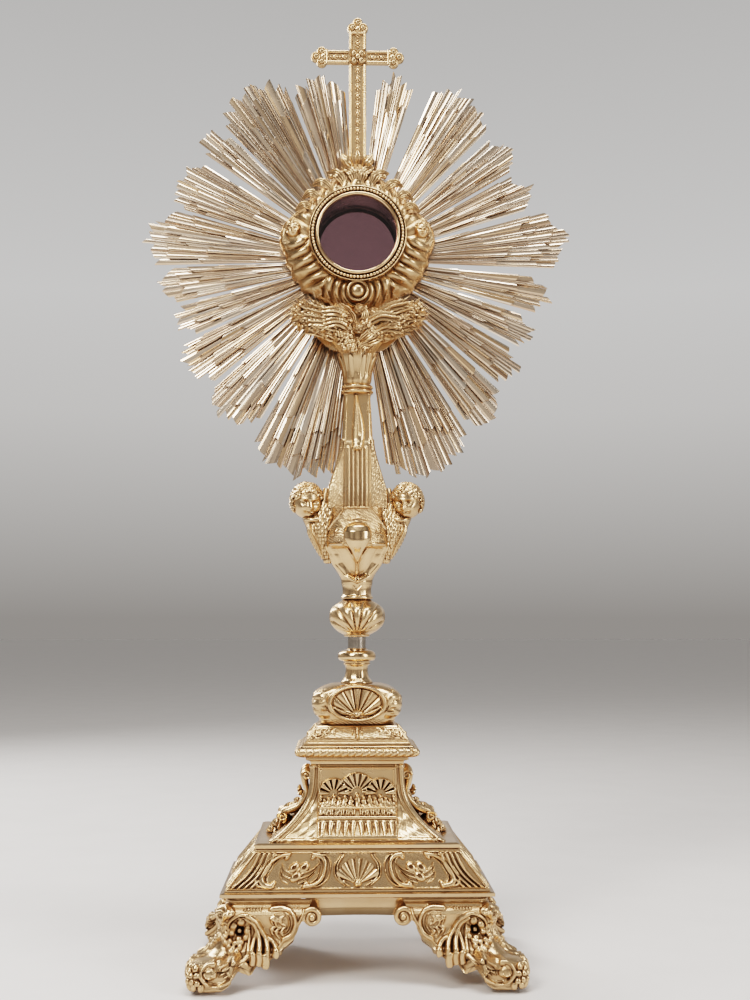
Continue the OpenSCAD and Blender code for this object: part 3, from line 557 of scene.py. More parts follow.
world = bpy.data.worlds.new("studio")
world.use_nodes = True
bpy.context.scene.world = world
sky = world.node_tree
axis = node(sky, "ShaderNodeSeparateXYZ")
sky.links.new(node(sky, "ShaderNodeTexCoord").outputs["Generated"], axis.inputs[0])
backdrop = ramp(sky, axis.outputs["Z"], [(0.0, (0.288, 0.272, 0.257)), (0.16, (0.62, 0.605, 0.59)),
                                         (0.25, (0.70, 0.69, 0.68)),
                                         (0.6, (0.40, 0.39, 0.38)), (1.0, (0.22, 0.215, 0.21))])
room = ramp(sky, axis.outputs["Z"], [(0.0, (0.50, 0.46, 0.43)), (0.12, (0.66, 0.61, 0.56)),
                                     (0.30, (0.50, 0.47, 0.44)), (0.55, (0.20, 0.19, 0.18)),
                                     (0.8, (0.46, 0.45, 0.43))])
windows = ramp(sky, sums(sky, "ABSOLUTE", axis.outputs["X"], 0), [
    (0.0, (1.0,)), (0.20, (0.72,)), (0.34, (0.26,)), (0.48, (0.62,)), (0.60, (1.0,)),
    (0.74, (0.30,)), (1.0, (0.70,))])
room = mix(sky, 1.0, room, windows, "MULTIPLY")
behind = gate(sky, sums(sky, "MULTIPLY_ADD", axis.outputs["Y"], 0.5), 0.42, 0.78)
sky.links.new(mix(sky, behind, room, backdrop), sky.nodes["Background"].inputs["Color"])
sky.nodes["Background"].inputs["Strength"].default_value = 0.85

floor_mesh = bpy.data.meshes.new("floor")
span, drop = 14.0, -0.0006
floor_mesh.from_pydata([(-span, -span, drop), (span, -span, drop), (span, span, drop),
                        (-span, span, drop)], [], [(0, 1, 2, 3)])
floor = bpy.data.objects.new("floor", floor_mesh)
bpy.context.scene.collection.objects.link(floor)
floor_mesh.materials.append(plain("pale_floor", (0.74, 0.71, 0.69), 0.55, 0.97))
bpy.context.scene.view_settings.view_transform = "Filmic"
bpy.context.scene.view_settings.look = "High Contrast"

# ------------------------------------------------------------------ glory of rays

RAY_BACK, RIDGE_TOP = 5.5, 3.3
# Back and front of the three layers of blades, from the lowest
LAYERS = [(RAY_BACK - 0.2, 4.75), (4.7, 3.95), (3.9, 3.2)]
BLADE_PITCH = 1.85  # degrees of a fan to one blade
# First and last angle from upright, and tip radius, of each fan of rays
LEFT_FANS = [(4, 20.6, 156), (22, 44, 168), (45.2, 54.5, 160), (57.5, 73.5, 158),
             (74.6, 91.6, 168.4), (92.6, 103.6, 159), (104.9, 115.3, 154), (116.6, 131, 160),
             (132.4, 149.4, 166), (151, 175, 179)]
RIGHT_FANS = [(6, 17.6, 158), (23.4, 44, 164), (46.4, 58.8, 156), (60.2, 72.4, 154),
              (74.6, 91.6, 169), (94.6, 106, 157), (107.8, 118, 152), (119.5, 131, 155),
              (132.6, 146.4, 168), (148, 172, 180)]
SHEETS = [(0,), (1, 2), (3, 4), (5, 6, 7), (8, 9)]

def polar(angle, radius):
    a = np.radians(angle)
    return np.column_stack([np.sin(a) * radius, GLORY_Z + np.cos(a) * radius])

def ring_edge(angle, radius=37.2):
    """Distance from the glory's centre to a circle about the window."""
    a = np.radians(angle)
    off = WINDOW_Z - GLORY_Z
    return off * np.cos(a) + np.sqrt(radius ** 2 - (off * np.sin(a)) ** 2)

def blade(a0, a1, r1, back, front, skew, reeds, lean, lift):
    """One cut ray: reeded across, slightly uneven along, with a slanted tip that stands
    off the layer below."""
    r0 = ring_edge((a0 + a1) / 2)
    t = np.linspace(0, 1, 4 * reeds + 1)
    crest = np.abs(np.sin(np.pi * reeds * t)) ** 0.8
    crest[[0, -1]] = -0.5
    angle = a0 + (a1 - a0) * t
    cut = 7.6 * abs(skew) * (t if skew > 0 else 1 - t) - 3.4 * abs(skew)
    notch = 0.5 * np.abs(np.sin(np.pi * reeds * t))
    along = np.linspace(0, 1, 11)
    rings = []
    for u in along:
        r = r0 + (r1 - r0 + (cut + notch) * (u > 0.99)) * u
        wave = 0.05 * math.sin(7 * u + 40 * lean) + lean * (t - 0.5)
        rise = lift * u ** 3
        y = front - 0.42 * crest + wave - rise
        top = on_plane(polar(angle, r), y)
        under = on_plane(polar(angle[[0, -1]], (r + 0 * t)[[0, -1]]), back - rise)
        rings.append(np.vstack([top, under[::-1]]))
    return loop_solid(rings)

def ray_fan(fan, out):
    """Three stepped layers of narrow blades on a closed backing."""
    a0, a1, tip = fan
    n = max(4, round((a1 - a0) / BLADE_PITCH))
    cuts = np.linspace(a0, a1, n + 1)
    cuts[1:-1] += rng.uniform(-0.3, 0.3, n - 1) * (a1 - a0) / n
    drift = rng.uniform(-3, 3)
    tips = []
    for k in range(n):
        u = 2 * (k + 0.5) / n - 1
        reach = tip - 3 - 14 * abs(u) ** 1.7 + drift * u - rng.uniform(0, 7)
        tips.append(reach)
        lo, hi = cuts[k] + 0.05, cuts[k + 1] - 0.05
        skew = rng.choice([-1, 1]) * rng.uniform(0.1, 0.8)
        reeds = int(rng.choice([1, 1, 2, 2]))
        out.join(blade(lo, hi, reach, *LAYERS[0], skew, reeds,
                       rng.uniform(-0.5, 0.5), 0.0))
        upper = reach - rng.choice([9, 14, 20, 30]) - rng.uniform(0, 5)
        out.join(blade(lo - 0.02, hi + 0.02, upper, *LAYERS[1], -skew, reeds,
                       rng.uniform(-0.5, 0.5), rng.uniform(1.2, 1.8)))
        if k % 3 != 1:
            last = upper - rng.choice([16, 26, 40]) - rng.uniform(0, 8)
            out.join(blade(lo - 0.01, hi + 0.01, last, *LAYERS[2], skew, reeds,
                           rng.uniform(-0.5, 0.5), rng.uniform(1.5, 2.3)))
    ends = np.linspace(a0 + 0.2, a1 - 0.2, 60)
    mids = (cuts[1:] + cuts[:-1]) / 2
    rim = polar(ends, np.interp(ends, mids, tips) - 4)
    root = polar(ends[::-1], ring_edge(ends[::-1]))
    loop = np.vstack([rim, root])
    out.join(loop_solid([on_plane(loop, RAY_BACK - 0.45), on_plane(loop, RAY_BACK)]))

for side, fans, label in ((-1, LEFT_FANS, "left"), (1, RIGHT_FANS, "right")):
    for k, sheet in enumerate(SHEETS):
        part = Builder()
        for index in sheet:
            ray_fan(fans[index], part)
        part = part if side > 0 else part.mirrored(0)
        part.emit(f"glory_{label}_{k + 1}", silver_rays, slot="ray_silver",
                  replaces=(f"rays_{label}_{k + 1}",), crease=12)

# ------------------------------------------------------------------ more builders

def normals(surface):
    """Unit normals of a grid of points, pointing away from the stem."""
    du = np.gradient(surface, axis=0)
    dv = np.gradient(surface, axis=1)
    out = np.cross(du, dv)
    out /= np.linalg.norm(out, axis=-1, keepdims=True) + 1e-9
    if np.sum(out[..., :2] * surface[..., :2]) < 0:
        out = -out
    return out

def shell(surface, height, thick):
    """Curved plate with a modelled front and an even thickness."""
    nu, nv = height.shape
    n = normals(surface)
    front = surface + n * height[..., None]
    rear = surface - n * thick
    m = nu * nv
    i, j = np.arange(nu - 1), np.arange(nv - 1)
    quads = [grid_quads(nu, nv), grid_quads(nu, nv)[:, ::-1] + m]
    for a in (0, (nu - 1) * nv):
        quads.append(np.stack([a + j, a + j + 1, m + a + j + 1, m + a + j], -1))
    for b in (0, nv - 1):
        quads.append(np.stack([i * nv + b, (i + 1) * nv + b, m + (i + 1) * nv + b,
                               m + i * nv + b], -1))
    return Builder().add(np.vstack([front.reshape(-1, 3), rear.reshape(-1, 3)]),
                         np.vstack(quads))

def hoop(section, n, centre):
    """Closed ring about a front-to-back axis. section is a closed loop of (radius, y)."""
    s = arr(section)
    a = np.linspace(0, 2 * np.pi, n, endpoint=False)[:, None]
    r, y = np.repeat(s[None, :, 0], n, 0), np.repeat(s[None, :, 1], n, 0)
    points = np.stack([centre[0] + r * np.sin(a), y, centre[1] + r * np.cos(a)], -1)
    return Builder().add(points, grid_quads(n, len(s), True, True))

def block(z, wide, deep, corner=1.0, across=120, along=80, shape=None):
    """Upright block whose width and depth follow z. shape(t, z, long) gives the rise of a
    face at a distance t from its middle; long is true on the front and the back."""
    z = arr(z)[:, None]
    hx, hy = arr(wide)[:, None] / 2, arr(deep)[:, None] / 2
    c = np.minimum(corner, np.minimum(hx, hy) * 0.96)
    phi = np.radians(np.linspace(-90, 0, 7)[1:-1])[None, :]
    parts = []
    for quarter in range(4):
        long = quarter % 2 == 0
        a, b = (hx, hy) if long else (hy, hx)
        t = np.linspace(-1, 1, across if long else along)[None, :] * (a - c)
        u = np.concatenate([t, a - c + c * np.cos(phi)], 1)
        v = np.concatenate([0 * t - b, c - b + c * np.sin(phi)], 1)
        nu = np.concatenate([0 * t, np.cos(phi) + 0 * c], 1)
        nv = np.concatenate([0 * t - 1, np.sin(phi) + 0 * c], 1)
        if shape:
            rise = shape(u, z + 0 * u, long)
            u, v = u + nu * rise, v + nv * rise
        cs, sn = QUARTERS[quarter]
        parts.append(np.stack([cs * u - sn * v, sn * u + cs * v, z + 0 * u], -1))
    return loop_solid(np.concatenate(parts, 1))

def smooth_steps(z, values, at):
    """Values through given levels without corners."""
    path = curve(np.column_stack([z, values]), 12)
    return np.interp(at, path[:, 0], path[:, 1])

def ridge(distance, width):
    """Rounded ridge of unit height, as wide as given."""
    return np.sqrt(np.clip(1 - (distance / (width / 2)) ** 2, 0, 1))

def off_line(x, z, ax, az, bx, bz):
    """Distance of points from a line piece in the X-Z plane."""
    ux, uz = bx - ax, bz - az
    t = np.clip(((x - ax) * ux + (z - az) * uz) / (ux * ux + uz * uz), 0, 1)
    return np.hypot(x - ax - t * ux, z - az - t * uz)

def leaf_blade(path, width, thick=1.0, fold=0.35, lobes=0, n=13, up=(0, -1, 0)):
    """Free leaf on a path: folded along its midrib, notched at the edge, closed."""
    path = arr(path)
    t = np.linspace(0, 1, len(path))
    side, out = moving_frame(path, up)
    half_w = width / 2 * np.sin(np.pi * np.clip(0.12 + 0.88 * t, 0, 1)) ** 0.7 + 0.15
    if lobes:
        half_w = half_w * (0.74 + 0.26 * np.abs(np.cos(np.pi * lobes * t)) ** 0.5)
    v = np.linspace(-1, 1, n)
    rise = fold * np.abs(v) - 0.12 * np.cos(4 * np.pi * v)
    upper = (path[:, None] + side[:, None] * (v[None, :, None] * half_w[:, None, None])
             + out[:, None] * (rise[None, :, None] * half_w[:, None, None]))
    lower = upper[:, ::-1] - out[:, None] * thick
    return loop_solid(np.concatenate([upper, lower], 1))

# ------------------------------------------------------------------ window frame

HEAD_X, HEAD_Z, BOSS_Z = 48.4, WINDOW_Z + 4.2, WINDOW_Z - 44
FRAME_BORE = 37  # radius inside the gadrooned frame
# Outline of the frame: degrees from upright and radius about the window
OUTLINE = [(0, 58.4), (7, 58), (13, 56.4), (18, 53.2), (25, 50.6), (32, 50.8), (40, 48.6),
           (48, 49.2), (56, 48.4), (63, 50.4), (69, 53.4), (74, 56), (80, 58.4), (86, 59.6),
           (92, 59.8), (98, 58.2), (104, 56.6), (109, 58.2), (114, 56.2), (120, 58),
           (126, 56.4), (133, 57.8), (140, 55.2), (147, 55.4), (154, 54.6), (162, 56.6),
           (171, 59), (180, 60)]

def frame_front(x, z, share):
    """Modelled rise of the frame: shell folds, rings round the boss, lobed shoulders."""
    side = np.abs(x)
    turn = np.degrees(np.arctan2(side, z - WINDOW_Z))
    to_head = np.hypot(side - HEAD_X - 1, z - HEAD_Z)
    to_boss = np.hypot(x, z - BOSS_Z)
    swell = np.sin(np.pi * np.clip(0.08 + 0.92 * share, 0, 1)) ** 0.5
    folds = np.abs(np.cos(np.pi * (to_head - 10.5) / 7.6)) ** 0.75 * 3.6
    rings = np.abs(np.cos(np.pi * (to_boss - 10.6) / 5.8)) ** 0.8 * 2.7
    lobes = np.abs(np.cos(np.pi * (turn - 15 + 9 * share) / 11.6)) ** 0.9 * 1.9
    lower = smooth01((turn - 88) / 14)
    bottom = smooth01((turn - 140) / 12)
    rise = lobes * (1 - lower) + folds * lower * (1 - bottom) + rings * bottom
    lip = ridge(share - 0.93, 0.16) * 1.3 * (1 - 0.6 * lower)
    return rise * swell + lip + 0.16 * grain(x * 1.3, z * 1.3) * (1 - lower)

# Leaves on the shoulders of the frame: start, middle and tip (x, z), and width
TOP_LEAVES = [(2, 41, 5, 49, 12.6, 55.4, 7.4), (10, 40, 15.6, 47.4, 24.4, 50.4, 7.8),
              (20, 36, 27.4, 41, 35.2, 40, 6.8), (28.6, 29, 36, 32.6, 42.6, 29.4, 6.2),
              (34.4, 20.6, 41, 23.4, 47.8, 20, 5.6), (5, 45, 3, 50, 1.2, 57.4, 5.4)]

def window_frame():
    n, m = 720, 52
    a = np.radians(np.linspace(0, 360, n, endpoint=False))
    turn = np.degrees(np.arccos(np.cos(a)))
    rim = smooth_steps(*zip(*OUTLINE), turn)[:, None]
    share = np.linspace(0, 1, m)[None, :] ** 0.9
    r = FRAME_BORE + (rim - FRAME_BORE) * share
    x, z = r * np.sin(a)[:, None], WINDOW_Z + r * np.cos(a)[:, None]
    base = -(3.0 + 12.6 * (1 - share ** 2.2) ** 0.7)
    y = base - frame_front(x, z, share)
    first = np.stack([x[:, 0], np.full(n, 1.8), z[:, 0]], -1)[:, None]
    last = np.stack([x[:, -1], np.full(n, 1.8), z[:, -1]], -1)[:, None]
    points = np.concatenate([first, np.stack([x, y, z], -1), last], 1)
    part = Builder().add(points, grid_quads(n, m + 2, True, True))
    button = [(0.1, -24), (2.2, -23.7), (4.2, -22.6), (5.3, -20.6), (5.8, -20.4),
              (6.8, -21.9), (8.0, -21.8), (8.8, -19.8), (9, -16)]
    section = curve(button, 4)
    part.join(hoop(np.vstack([section, [(0.1, -16)]]), 64, (0, BOSS_Z)))
    for s in (-1, 1):
        for x0, z0, x1, z1, x2, z2, wide in TOP_LEAVES:
            path = curve([(s * x0, -15.4, WINDOW_Z + z0), (s * x1, -17.4, WINDOW_Z + z1),
                          (s * x2, -11.5, WINDOW_Z + z2)], 12)
            part.join(leaf_blade(path, wide, 1.3, 0.3, 3, 13))
        part.join(ball((s * 20.4, -14.6, WINDOW_Z + 46.4), 1.9, 12, 8))
        part.join(ball((s * 9.6, -14.8, WINDOW_Z + 50.6), 1.7, 12, 8))
    return part

def front_ring():
    part = hoop(curve([(29.4, -20.4), (29.2, -23.2), (29.8, -24.6), (30.8, -24.9), (31.8, -24.2),
                       (32.2, -22.4), (32.8, -21.8), (35.6, -21.8), (36.1, -23.4),
                       (36.6, -23.4), (36.9, -22.4), (36.9, -16.2), (34.7, -16.2),
                       (34.7, -20.6)], 3), 160, (0, WINDOW_Z))
    count = 84
    for k in range(count):
        a = 2 * math.pi * k / count
        part.join(ball((34.1 * math.sin(a), -23.5, WINDOW_Z + 34.1 * math.cos(a)), 1.34,
                       10, 7))
    return part

window_frame().emit("window_frame", gilt_frame, replaces=("rocaille_frame",), crease=60)
front_ring().emit("window_ring", gilt_plain, replaces=("front_bezel",), crease=50)

# ------------------------------------------------------------------ heads and wings

GOLDEN_ANGLE = 2.399963  # radians, spreads the curls evenly

def head(centre, radius, look=0.0, tip=0.0, curls=90, seed=1):
    """Generic cherub's head: round form, soft features on plain proportions, curly hair.
    look turns it about Z, tip nods it down, both in degrees."""
    nt, na = 96, 128
    t = np.linspace(0.02, np.pi - 0.02, nt)[:, None]
    a = np.linspace(-np.pi, np.pi, na, endpoint=False)[None, :]
    unit = np.stack([np.sin(t) * np.sin(a), -np.sin(t) * np.cos(a), np.cos(t) + 0 * a], -1)
    scale = np.array([0.88, 0.96, 1.0])
    p = unit * scale

    def bump(x, z, sx, sz, rise):
        d = ((unit[..., 0] - x) / sx) ** 2 + ((unit[..., 2] - z) / sz) ** 2
        return np.where(unit[..., 1] < 0.1, np.exp(-d) * rise, 0)

    rise = bump(0, -0.16, 0.11, 0.20, 0.18)
    rise = rise + bump(0, -0.24, 0.16, 0.09, 0.09)
    rise = rise + bump(0, 0.42, 0.5, 0.26, 0.04)
    rise = rise + bump(0, -0.70, 0.22, 0.16, 0.09) - bump(0, -0.575, 0.2, 0.045, 0.035)
    rise = rise + bump(0, -0.43, 0.20, 0.055, 0.06) + bump(0, -0.52, 0.16, 0.05, 0.05)
    rise = rise - bump(0, -0.472, 0.22, 0.03, 0.08)
    for s in (-1, 1):
        rise = rise + bump(s * 0.44, -0.30, 0.25, 0.24, 0.11)
        rise = rise - bump(s * 0.32, 0.05, 0.20, 0.13, 0.22)
        rise = rise + bump(s * 0.32, 0.02, 0.11, 0.06, 0.11)
        rise = rise + bump(s * 0.30, 0.21, 0.26, 0.06, 0.07)
    p = p * (1 + rise)[..., None]
    part = loop_solid(p * radius)
    chance = np.random.default_rng(seed)
    for k in range(curls):
        u = (k + 0.5) / curls
        ct = 0.985 - 1.5 * u
        st = math.sqrt(max(0, 1 - ct * ct))
        az = GOLDEN_ANGLE * k
        d = np.array([st * math.sin(az), -st * math.cos(az), ct])
        if d[1] < -0.22 and d[2] < 0.60 - 0.5 * d[0] ** 2:
            continue
        # a lock runs down from the crown in an S
        down = np.cross(d, np.cross([0.0, 0.25, 1.0], d))
        down /= -np.linalg.norm(down)
        aside = np.cross(d, down)
        q = np.linspace(0, 1, 15)
        size = radius * chance.uniform(0.30, 0.42)
        swing = size * 0.34 * np.sin(q * chance.uniform(5.0, 6.6) + chance.uniform(0, 6.28))
        lock = d + np.outer(size * (q - 0.45), down) / radius + np.outer(swing, aside) / radius
        lock /= np.linalg.norm(lock, axis=1)[:, None]
        lift = 1.015 + 0.045 * np.sin(np.pi * q)
        girth = radius * 0.085 * np.sin(np.pi * (0.14 + 0.8 * q)) ** 0.6
        part.join(sweep(lock * scale * radius * lift[:, None], girth, 7, up=d))
    c, s = math.cos(math.radians(look)), math.sin(math.radians(look))
    cn, sn = math.cos(math.radians(tip)), math.sin(math.radians(tip))
    nod = np.array([[1, 0, 0], [0, cn, -sn], [0, sn, cn]])
    turn = np.array([[c, -s, 0], [s, c, 0], [0, 0, 1]])
    return Builder().join(part, lambda q: q @ nod.T @ turn.T + arr(centre))

def feather_wing(root, tip, width, rows, y, thick=1.6):
    """Wing of overlapping feathers, laid like scales from tip back to root."""
    root, tip = arr(root), arr(tip)
    axis_dir = tip - root
    length = np.linalg.norm(axis_dir)
    axis_dir /= length
    side = arr([-axis_dir[1], axis_dir[0]])
    part = Builder()
    for r in range(rows):
        t = 1 - r / rows
        wide = width * math.sin(math.pi * (0.16 + 0.66 * (1 - t)) ** 0.9)
        count = max(2, int(wide / 3.0))
        for k in range(count):
            off = (k - (count - 1) / 2) * wide / count
            at = root + axis_dir * length * (t - 0.12) + side * (off + 0.35 * (r % 2))
            span = length * 0.30
            path = np.array([at + axis_dir * span * (u - 0.5) for u in
                             np.linspace(0, 1, 9)])
            depth = y - 0.34 * r - 0.8 * np.linspace(1, 0, 9)
            part.join(leaf_blade(on_plane(path, depth), wide / count * 1.5, thick, -0.22,
                                 0, 7))
    return part

def small_cherub(side):
    """Child's head on the shoulder of the window frame, on a pair of short wings."""
    at = (side * HEAD_X, -13.4, HEAD_Z + 0.6)
    part = head(at, 6.6, look=side * 8, tip=6, curls=110, seed=3 + side)
    for s in (-1, 1):
        part.join(feather_wing((side * HEAD_X + s * 1.5, HEAD_Z - 5),
                               (side * HEAD_X + s * 8.6, HEAD_Z - 7.5), 7.5, 4, -11.5, 1.3))
    collar = curve([(side * HEAD_X - 7, HEAD_Z - 3.4), (side * HEAD_X - 3, HEAD_Z - 8.4),
                    (side * HEAD_X + 3, HEAD_Z - 8.8), (side * HEAD_X + 7.4, HEAD_Z - 4)], 8)
    part.join(sweep(on_plane(collar, -11.5), 2.0, 10))
    return part

for side, label in SIDES:
    small_cherub(side).emit(f"shoulder_cherub_{label}", gilt_fine, replaces=(f"putto_{label}",))

# ------------------------------------------------------------------ sheaves, fruit, calyx

Z_CALYX = level("calyx")[0]

def wheat_ear(start, end, radius, bend):
    """Ear of wheat: overlapping grains in three rows round the stalk, with short awns."""
    start, end = arr(start), arr(end)
    mid = (start + end) / 2 + arr([0, -bend, bend])
    path = curve([start, mid, end], 12)
    part = Builder().join(sweep(path, radius * 0.42, 8))
    count = 9
    for k in range(count):
        t = 0.22 + 0.74 * k / (count - 1)
        i = min(int(t * (len(path) - 2)), len(path) - 3)
        ahead = path[i + 2] - path[i]
        ahead /= np.linalg.norm(ahead)
        side = np.cross(ahead, [0, -1, 0])
        side /= np.linalg.norm(side)
        out = np.cross(side, ahead)
        out *= -np.sign(out[1])
        for s, o in ((-1, 0.2), (1, 0.2), (0, 0.75)):
            at = path[i] + side * s * radius * 0.66 + out * o * radius * 0.8
            d = ahead + side * s * 0.42 + out * 0.2
            d /= np.linalg.norm(d)
            q = np.linspace(0, 1, 7)
            grain_r = radius * 0.46 * np.sin(np.pi * (0.1 + 0.86 * q)) ** 0.75
            body = at + np.outer((q - 0.35) * radius * 1.7, d)
            part.join(sweep(body, grain_r * (1 - 0.35 * t), 7))
            if k % 2 == 0:
                awn = at + np.outer(np.linspace(0.8, 2.1, 5) * radius, d)
                awn += np.outer(np.linspace(0, 1, 5) ** 2 * radius * 0.3, out)
                part.join(sweep(awn, np.linspace(0.24, 0.10, 5), 5))
    return part

def sheaf(side):
    """Half of the bouquet: ears of wheat fanned out sideways, with leaves and berries
    tucked in between."""
    part = Builder()
    chance = np.random.default_rng(31 + side)
    rows = [(14, -15, [(47.4, 58.6), (49.8, 54), (50.2, 49.6), (48, 45.8), (43, 42.4),
                       (36.6, 38.4)]),
            (9, -18.6, [(37, 58), (40.6, 54), (39, 49), (35.4, 44), (29, 39)]),
            (5, -21, [(25, 50.6), (27.6, 46.4), (24, 41)])]
    for row, (x0, y, ends) in enumerate(rows):
        for k, (x, z) in enumerate(ends):
            start = (side * x0, y, Z_CALYX + 44.6 - 2.8 * k)
            end = (side * x, y - 3.4 - chance.uniform(0, 1.6), Z_CALYX + z)
            part.join(wheat_ear(start, end, 3.5 - 0.2 * row, chance.uniform(-2, 3)))
    for k in range(64):
        u, v = chance.uniform(0.02, 1), chance.uniform(-1, 1)
        x, z = 9 + 37 * u, 39.4 + 11.4 * u + v * (10.6 - 4.4 * u)
        y = -20.4 - 1.6 * (1 - u) - chance.uniform(0, 1.6)
        turn = chance.uniform(-1.3, 1.3) + 0.4 * v
        reach = chance.uniform(5.0, 8.6)
        dx, dz = side * math.cos(turn), math.sin(turn)
        if k % 3 == 2:
            for a, b in ((0, 0), (2.3, 0.8), (0.6, 2.4), (-1.8, 1.4)):
                part.join(ball((side * (x + a), y - 0.7, Z_CALYX + z + b), 1.35, 9, 6))
            continue
        path = curve([(side * x, y + 1.6, Z_CALYX + z),
                      (side * x + 0.5 * reach * dx, y - 1.7, Z_CALYX + z + 0.5 * reach * dz),
                      (side * x + reach * dx, y + 0.4, Z_CALYX + z + reach * dz)], 5)
        part.join(leaf_blade(path, chance.uniform(3.0, 4.6), 0.8, 0.42, 2, 9))
    for k in range(6):
        x1, z1 = 13 + 4.6 * k, 27 + 2.3 * k
        path = curve([(side * (4 + 0.5 * k), -9, Z_CALYX + 18),
                      (side * x1 * 0.62, -15, Z_CALYX + z1 - 1),
                      (side * (x1 + 4), -14 - k * 0.3, Z_CALYX + z1 + 6)], 9)
        part.join(leaf_blade(path, 5.8, 0.9, -0.36, 5, 9))
    back = curve([(side * 8, 24.2), (side * 20, 25.5), (side * 34, 38), (side * 46, 50),
                  (side * 45, 58), (side * 30, 57.5), (side * 13, 50), (side * 9, 34)], 6)
    loop = np.column_stack([back[:, 0], back[:, 1] + Z_CALYX])
    part.join(loop_solid([on_plane(loop, -10.5), on_plane(loop, -6.8)]))
    return part

def rosette(x, y, z, radius, petals=5, tilt=0.0):
    """Open flower of cupped petals round a beaded eye."""
    part = Builder()
    for ring_r, lift, turn in ((1.0, 0.0, 0), (0.66, 1.3, 0.5)):
        for k in range(petals):
            a = 2 * math.pi * (k + turn) / petals + tilt
            d = arr([math.sin(a), math.cos(a)])
            path = np.array([[x + d[0] * radius * ring_r * u, y - lift - 1.4 * u + 1.5 * u * u,
                              z + d[1] * radius * ring_r * u] for u in
                             np.linspace(0.08, 1, 9)])
            part.join(leaf_blade(path, radius * 0.92 * ring_r, 0.9, 0.22, 0, 9))
    part.join(ball((x, y - 2.2, z), radius * 0.24, 10, 7))
    for k in range(7):
        a = 2 * math.pi * k / 7
        part.join(ball((x + radius * 0.3 * math.sin(a), y - 1.9, z + radius * 0.3 * math.cos(a)),
                       radius * 0.1, 8, 5))
    return part

def berries(centre, spread, radius, count, seed):
    chance = np.random.default_rng(seed)
    part = Builder()
    for k in range(count):
        a, u = 2.4 * k, math.sqrt((k + 0.5) / count)
        part.join(ball((centre[0] + spread[0] * u * math.cos(a),
                        centre[1] - 2.2 * (1 - u) - chance.uniform(0, 0.8),
                        centre[2] + spread[1] * u * math.sin(a)), radius, 10, 7))
    return part

def bouquet_centre():
    part = Builder()
    part.join(rosette(-11, -24.6, Z_CALYX + 47, 6.6, 5, 0.3))
    part.join(rosette(12.4, -23.6, Z_CALYX + 50, 5.4, 6, 0.1))
    part.join(rosette(1.6, -24.2, Z_CALYX + 53, 4.8, 5, 0.8))
    part.join(rosette(1.0, -25.2, Z_CALYX + 39, 5.2, 5, 0.1))
    part.join(berries((-9, -20, Z_CALYX + 31), (6.4, 7.6), 2.1, 17, 3))
    part.join(berries((8, -22.4, Z_CALYX + 42), (5, 3.4), 1.7, 11, 4))
    part.join(berries((-4, -20, Z_CALYX + 24.6), (3.4, 3.4), 1.8, 7, 5))
    fronds = [((4, -19, 28), (13, -22.5, 31), (23, -21, 36), 8.4, 4),
              ((2, -20, 30), (8, -23.5, 34), (19, -23, 42), 7.0, 4),
              ((-3, -20, 36), (-10, -23, 39), (-21, -21, 41), 7.4, 4),
              ((0, -18, 22), (5, -20.5, 26), (13, -19.5, 28), 6.6, 3),
              ((0, -20, 42), (5, -24, 46), (6, -24, 56), 6.0, 3),
              ((-2, -20, 42), (-6, -23.4, 50), (-14, -23, 58), 6.6, 3),
              ((3, -20, 44), (12, -23.4, 47), (24, -23, 55), 6.4, 3),
              ((-4, -19, 24), (-10, -19.6, 27), (-17, -18, 33), 6.0, 3),
              ((0, -17, 20), (0, -19.4, 24), (-1, -19, 33), 6.6, 3)]
    for a, b, c, width, lobes in fronds:
        path = curve([(x, y, Z_CALYX + z) for x, y, z in (a, b, c)], 14)
        part.join(leaf_blade(path, width, 1.1, 0.3, lobes, 13))
    loop = np.array([(-8, 24.2), (8, 24.2), (12, 44), (12.6, 50.6), (-12.6, 50.6), (-12, 44)])
    loop[:, 1] += Z_CALYX
    part.join(loop_solid([on_plane(loop, -16.5), on_plane(loop, -6.8)]))
    return part

def leafy_calyx():
    """Husk of upright leaves that flares out below the bouquet."""
    z = np.linspace(Z_CALYX, Z_CALYX + 24, 60)
    r = smooth_steps([0, 3, 8, 14, 20, 24], [9.6, 10.4, 10.6, 12.0, 13.6, 14.2],
                     z - Z_CALYX)

    def ribs(radius, a, level_z):
        t = (level_z - Z_CALYX) / 24
        wave = np.abs(np.cos(4 * a)) ** 0.6
        vein = 0.28 * np.abs(np.cos(16 * a)) * smooth01(t * 3)
        return radius + (wave - 0.55) * (0.7 + 1.2 * t) + vein

    part = lathe(np.column_stack([r, z]), 192, ribs)
    for k in range(8):
        a = 2 * math.pi * (k + 0.5) / 8
        path = np.array([[(10 + 5.4 * u ** 1.6) * math.sin(a), -(10 + 5.4 * u ** 1.6)
                          * math.cos(a), Z_CALYX + 4 + 19 * u - 2.4 * u ** 6]
                         for u in np.linspace(0, 1, 16)])
        m = sweep(path, 2.7 * np.sin(np.pi * (0.14 + 0.8 * np.linspace(0, 1, 16))) ** 0.8,
                  10, 0.42, up=(math.sin(a), -math.cos(a), 0.2))
        part.join(m)
    return part

for side, label in SIDES:
    sheaf(side).emit(f"wheat_{label}", gilt_fine, replaces=(f"sheaf_{label}",))
bouquet_centre().emit("flowers_and_fruit", gilt_fine, replaces=("grape_cluster",))
leafy_calyx().emit("leafy_calyx", gilt_fine, replaces=("calyx",))

# ------------------------------------------------------------------ stem

Z_NECK, Z_SAUCER = level("flared_neck")
Z_KNOP, Z_UPPER = level("shell_knop")
Z_URN, Z_SHAFT = level("urn_knot")
Z_COLLAR = level("collar_ring")[0]

def turned(base, points, n=96, shape=None, fine=8):
    """Turned piece from (radius, height above base) points."""
    return lathe(curve(arr(points) + [0, base], fine), n, shape)

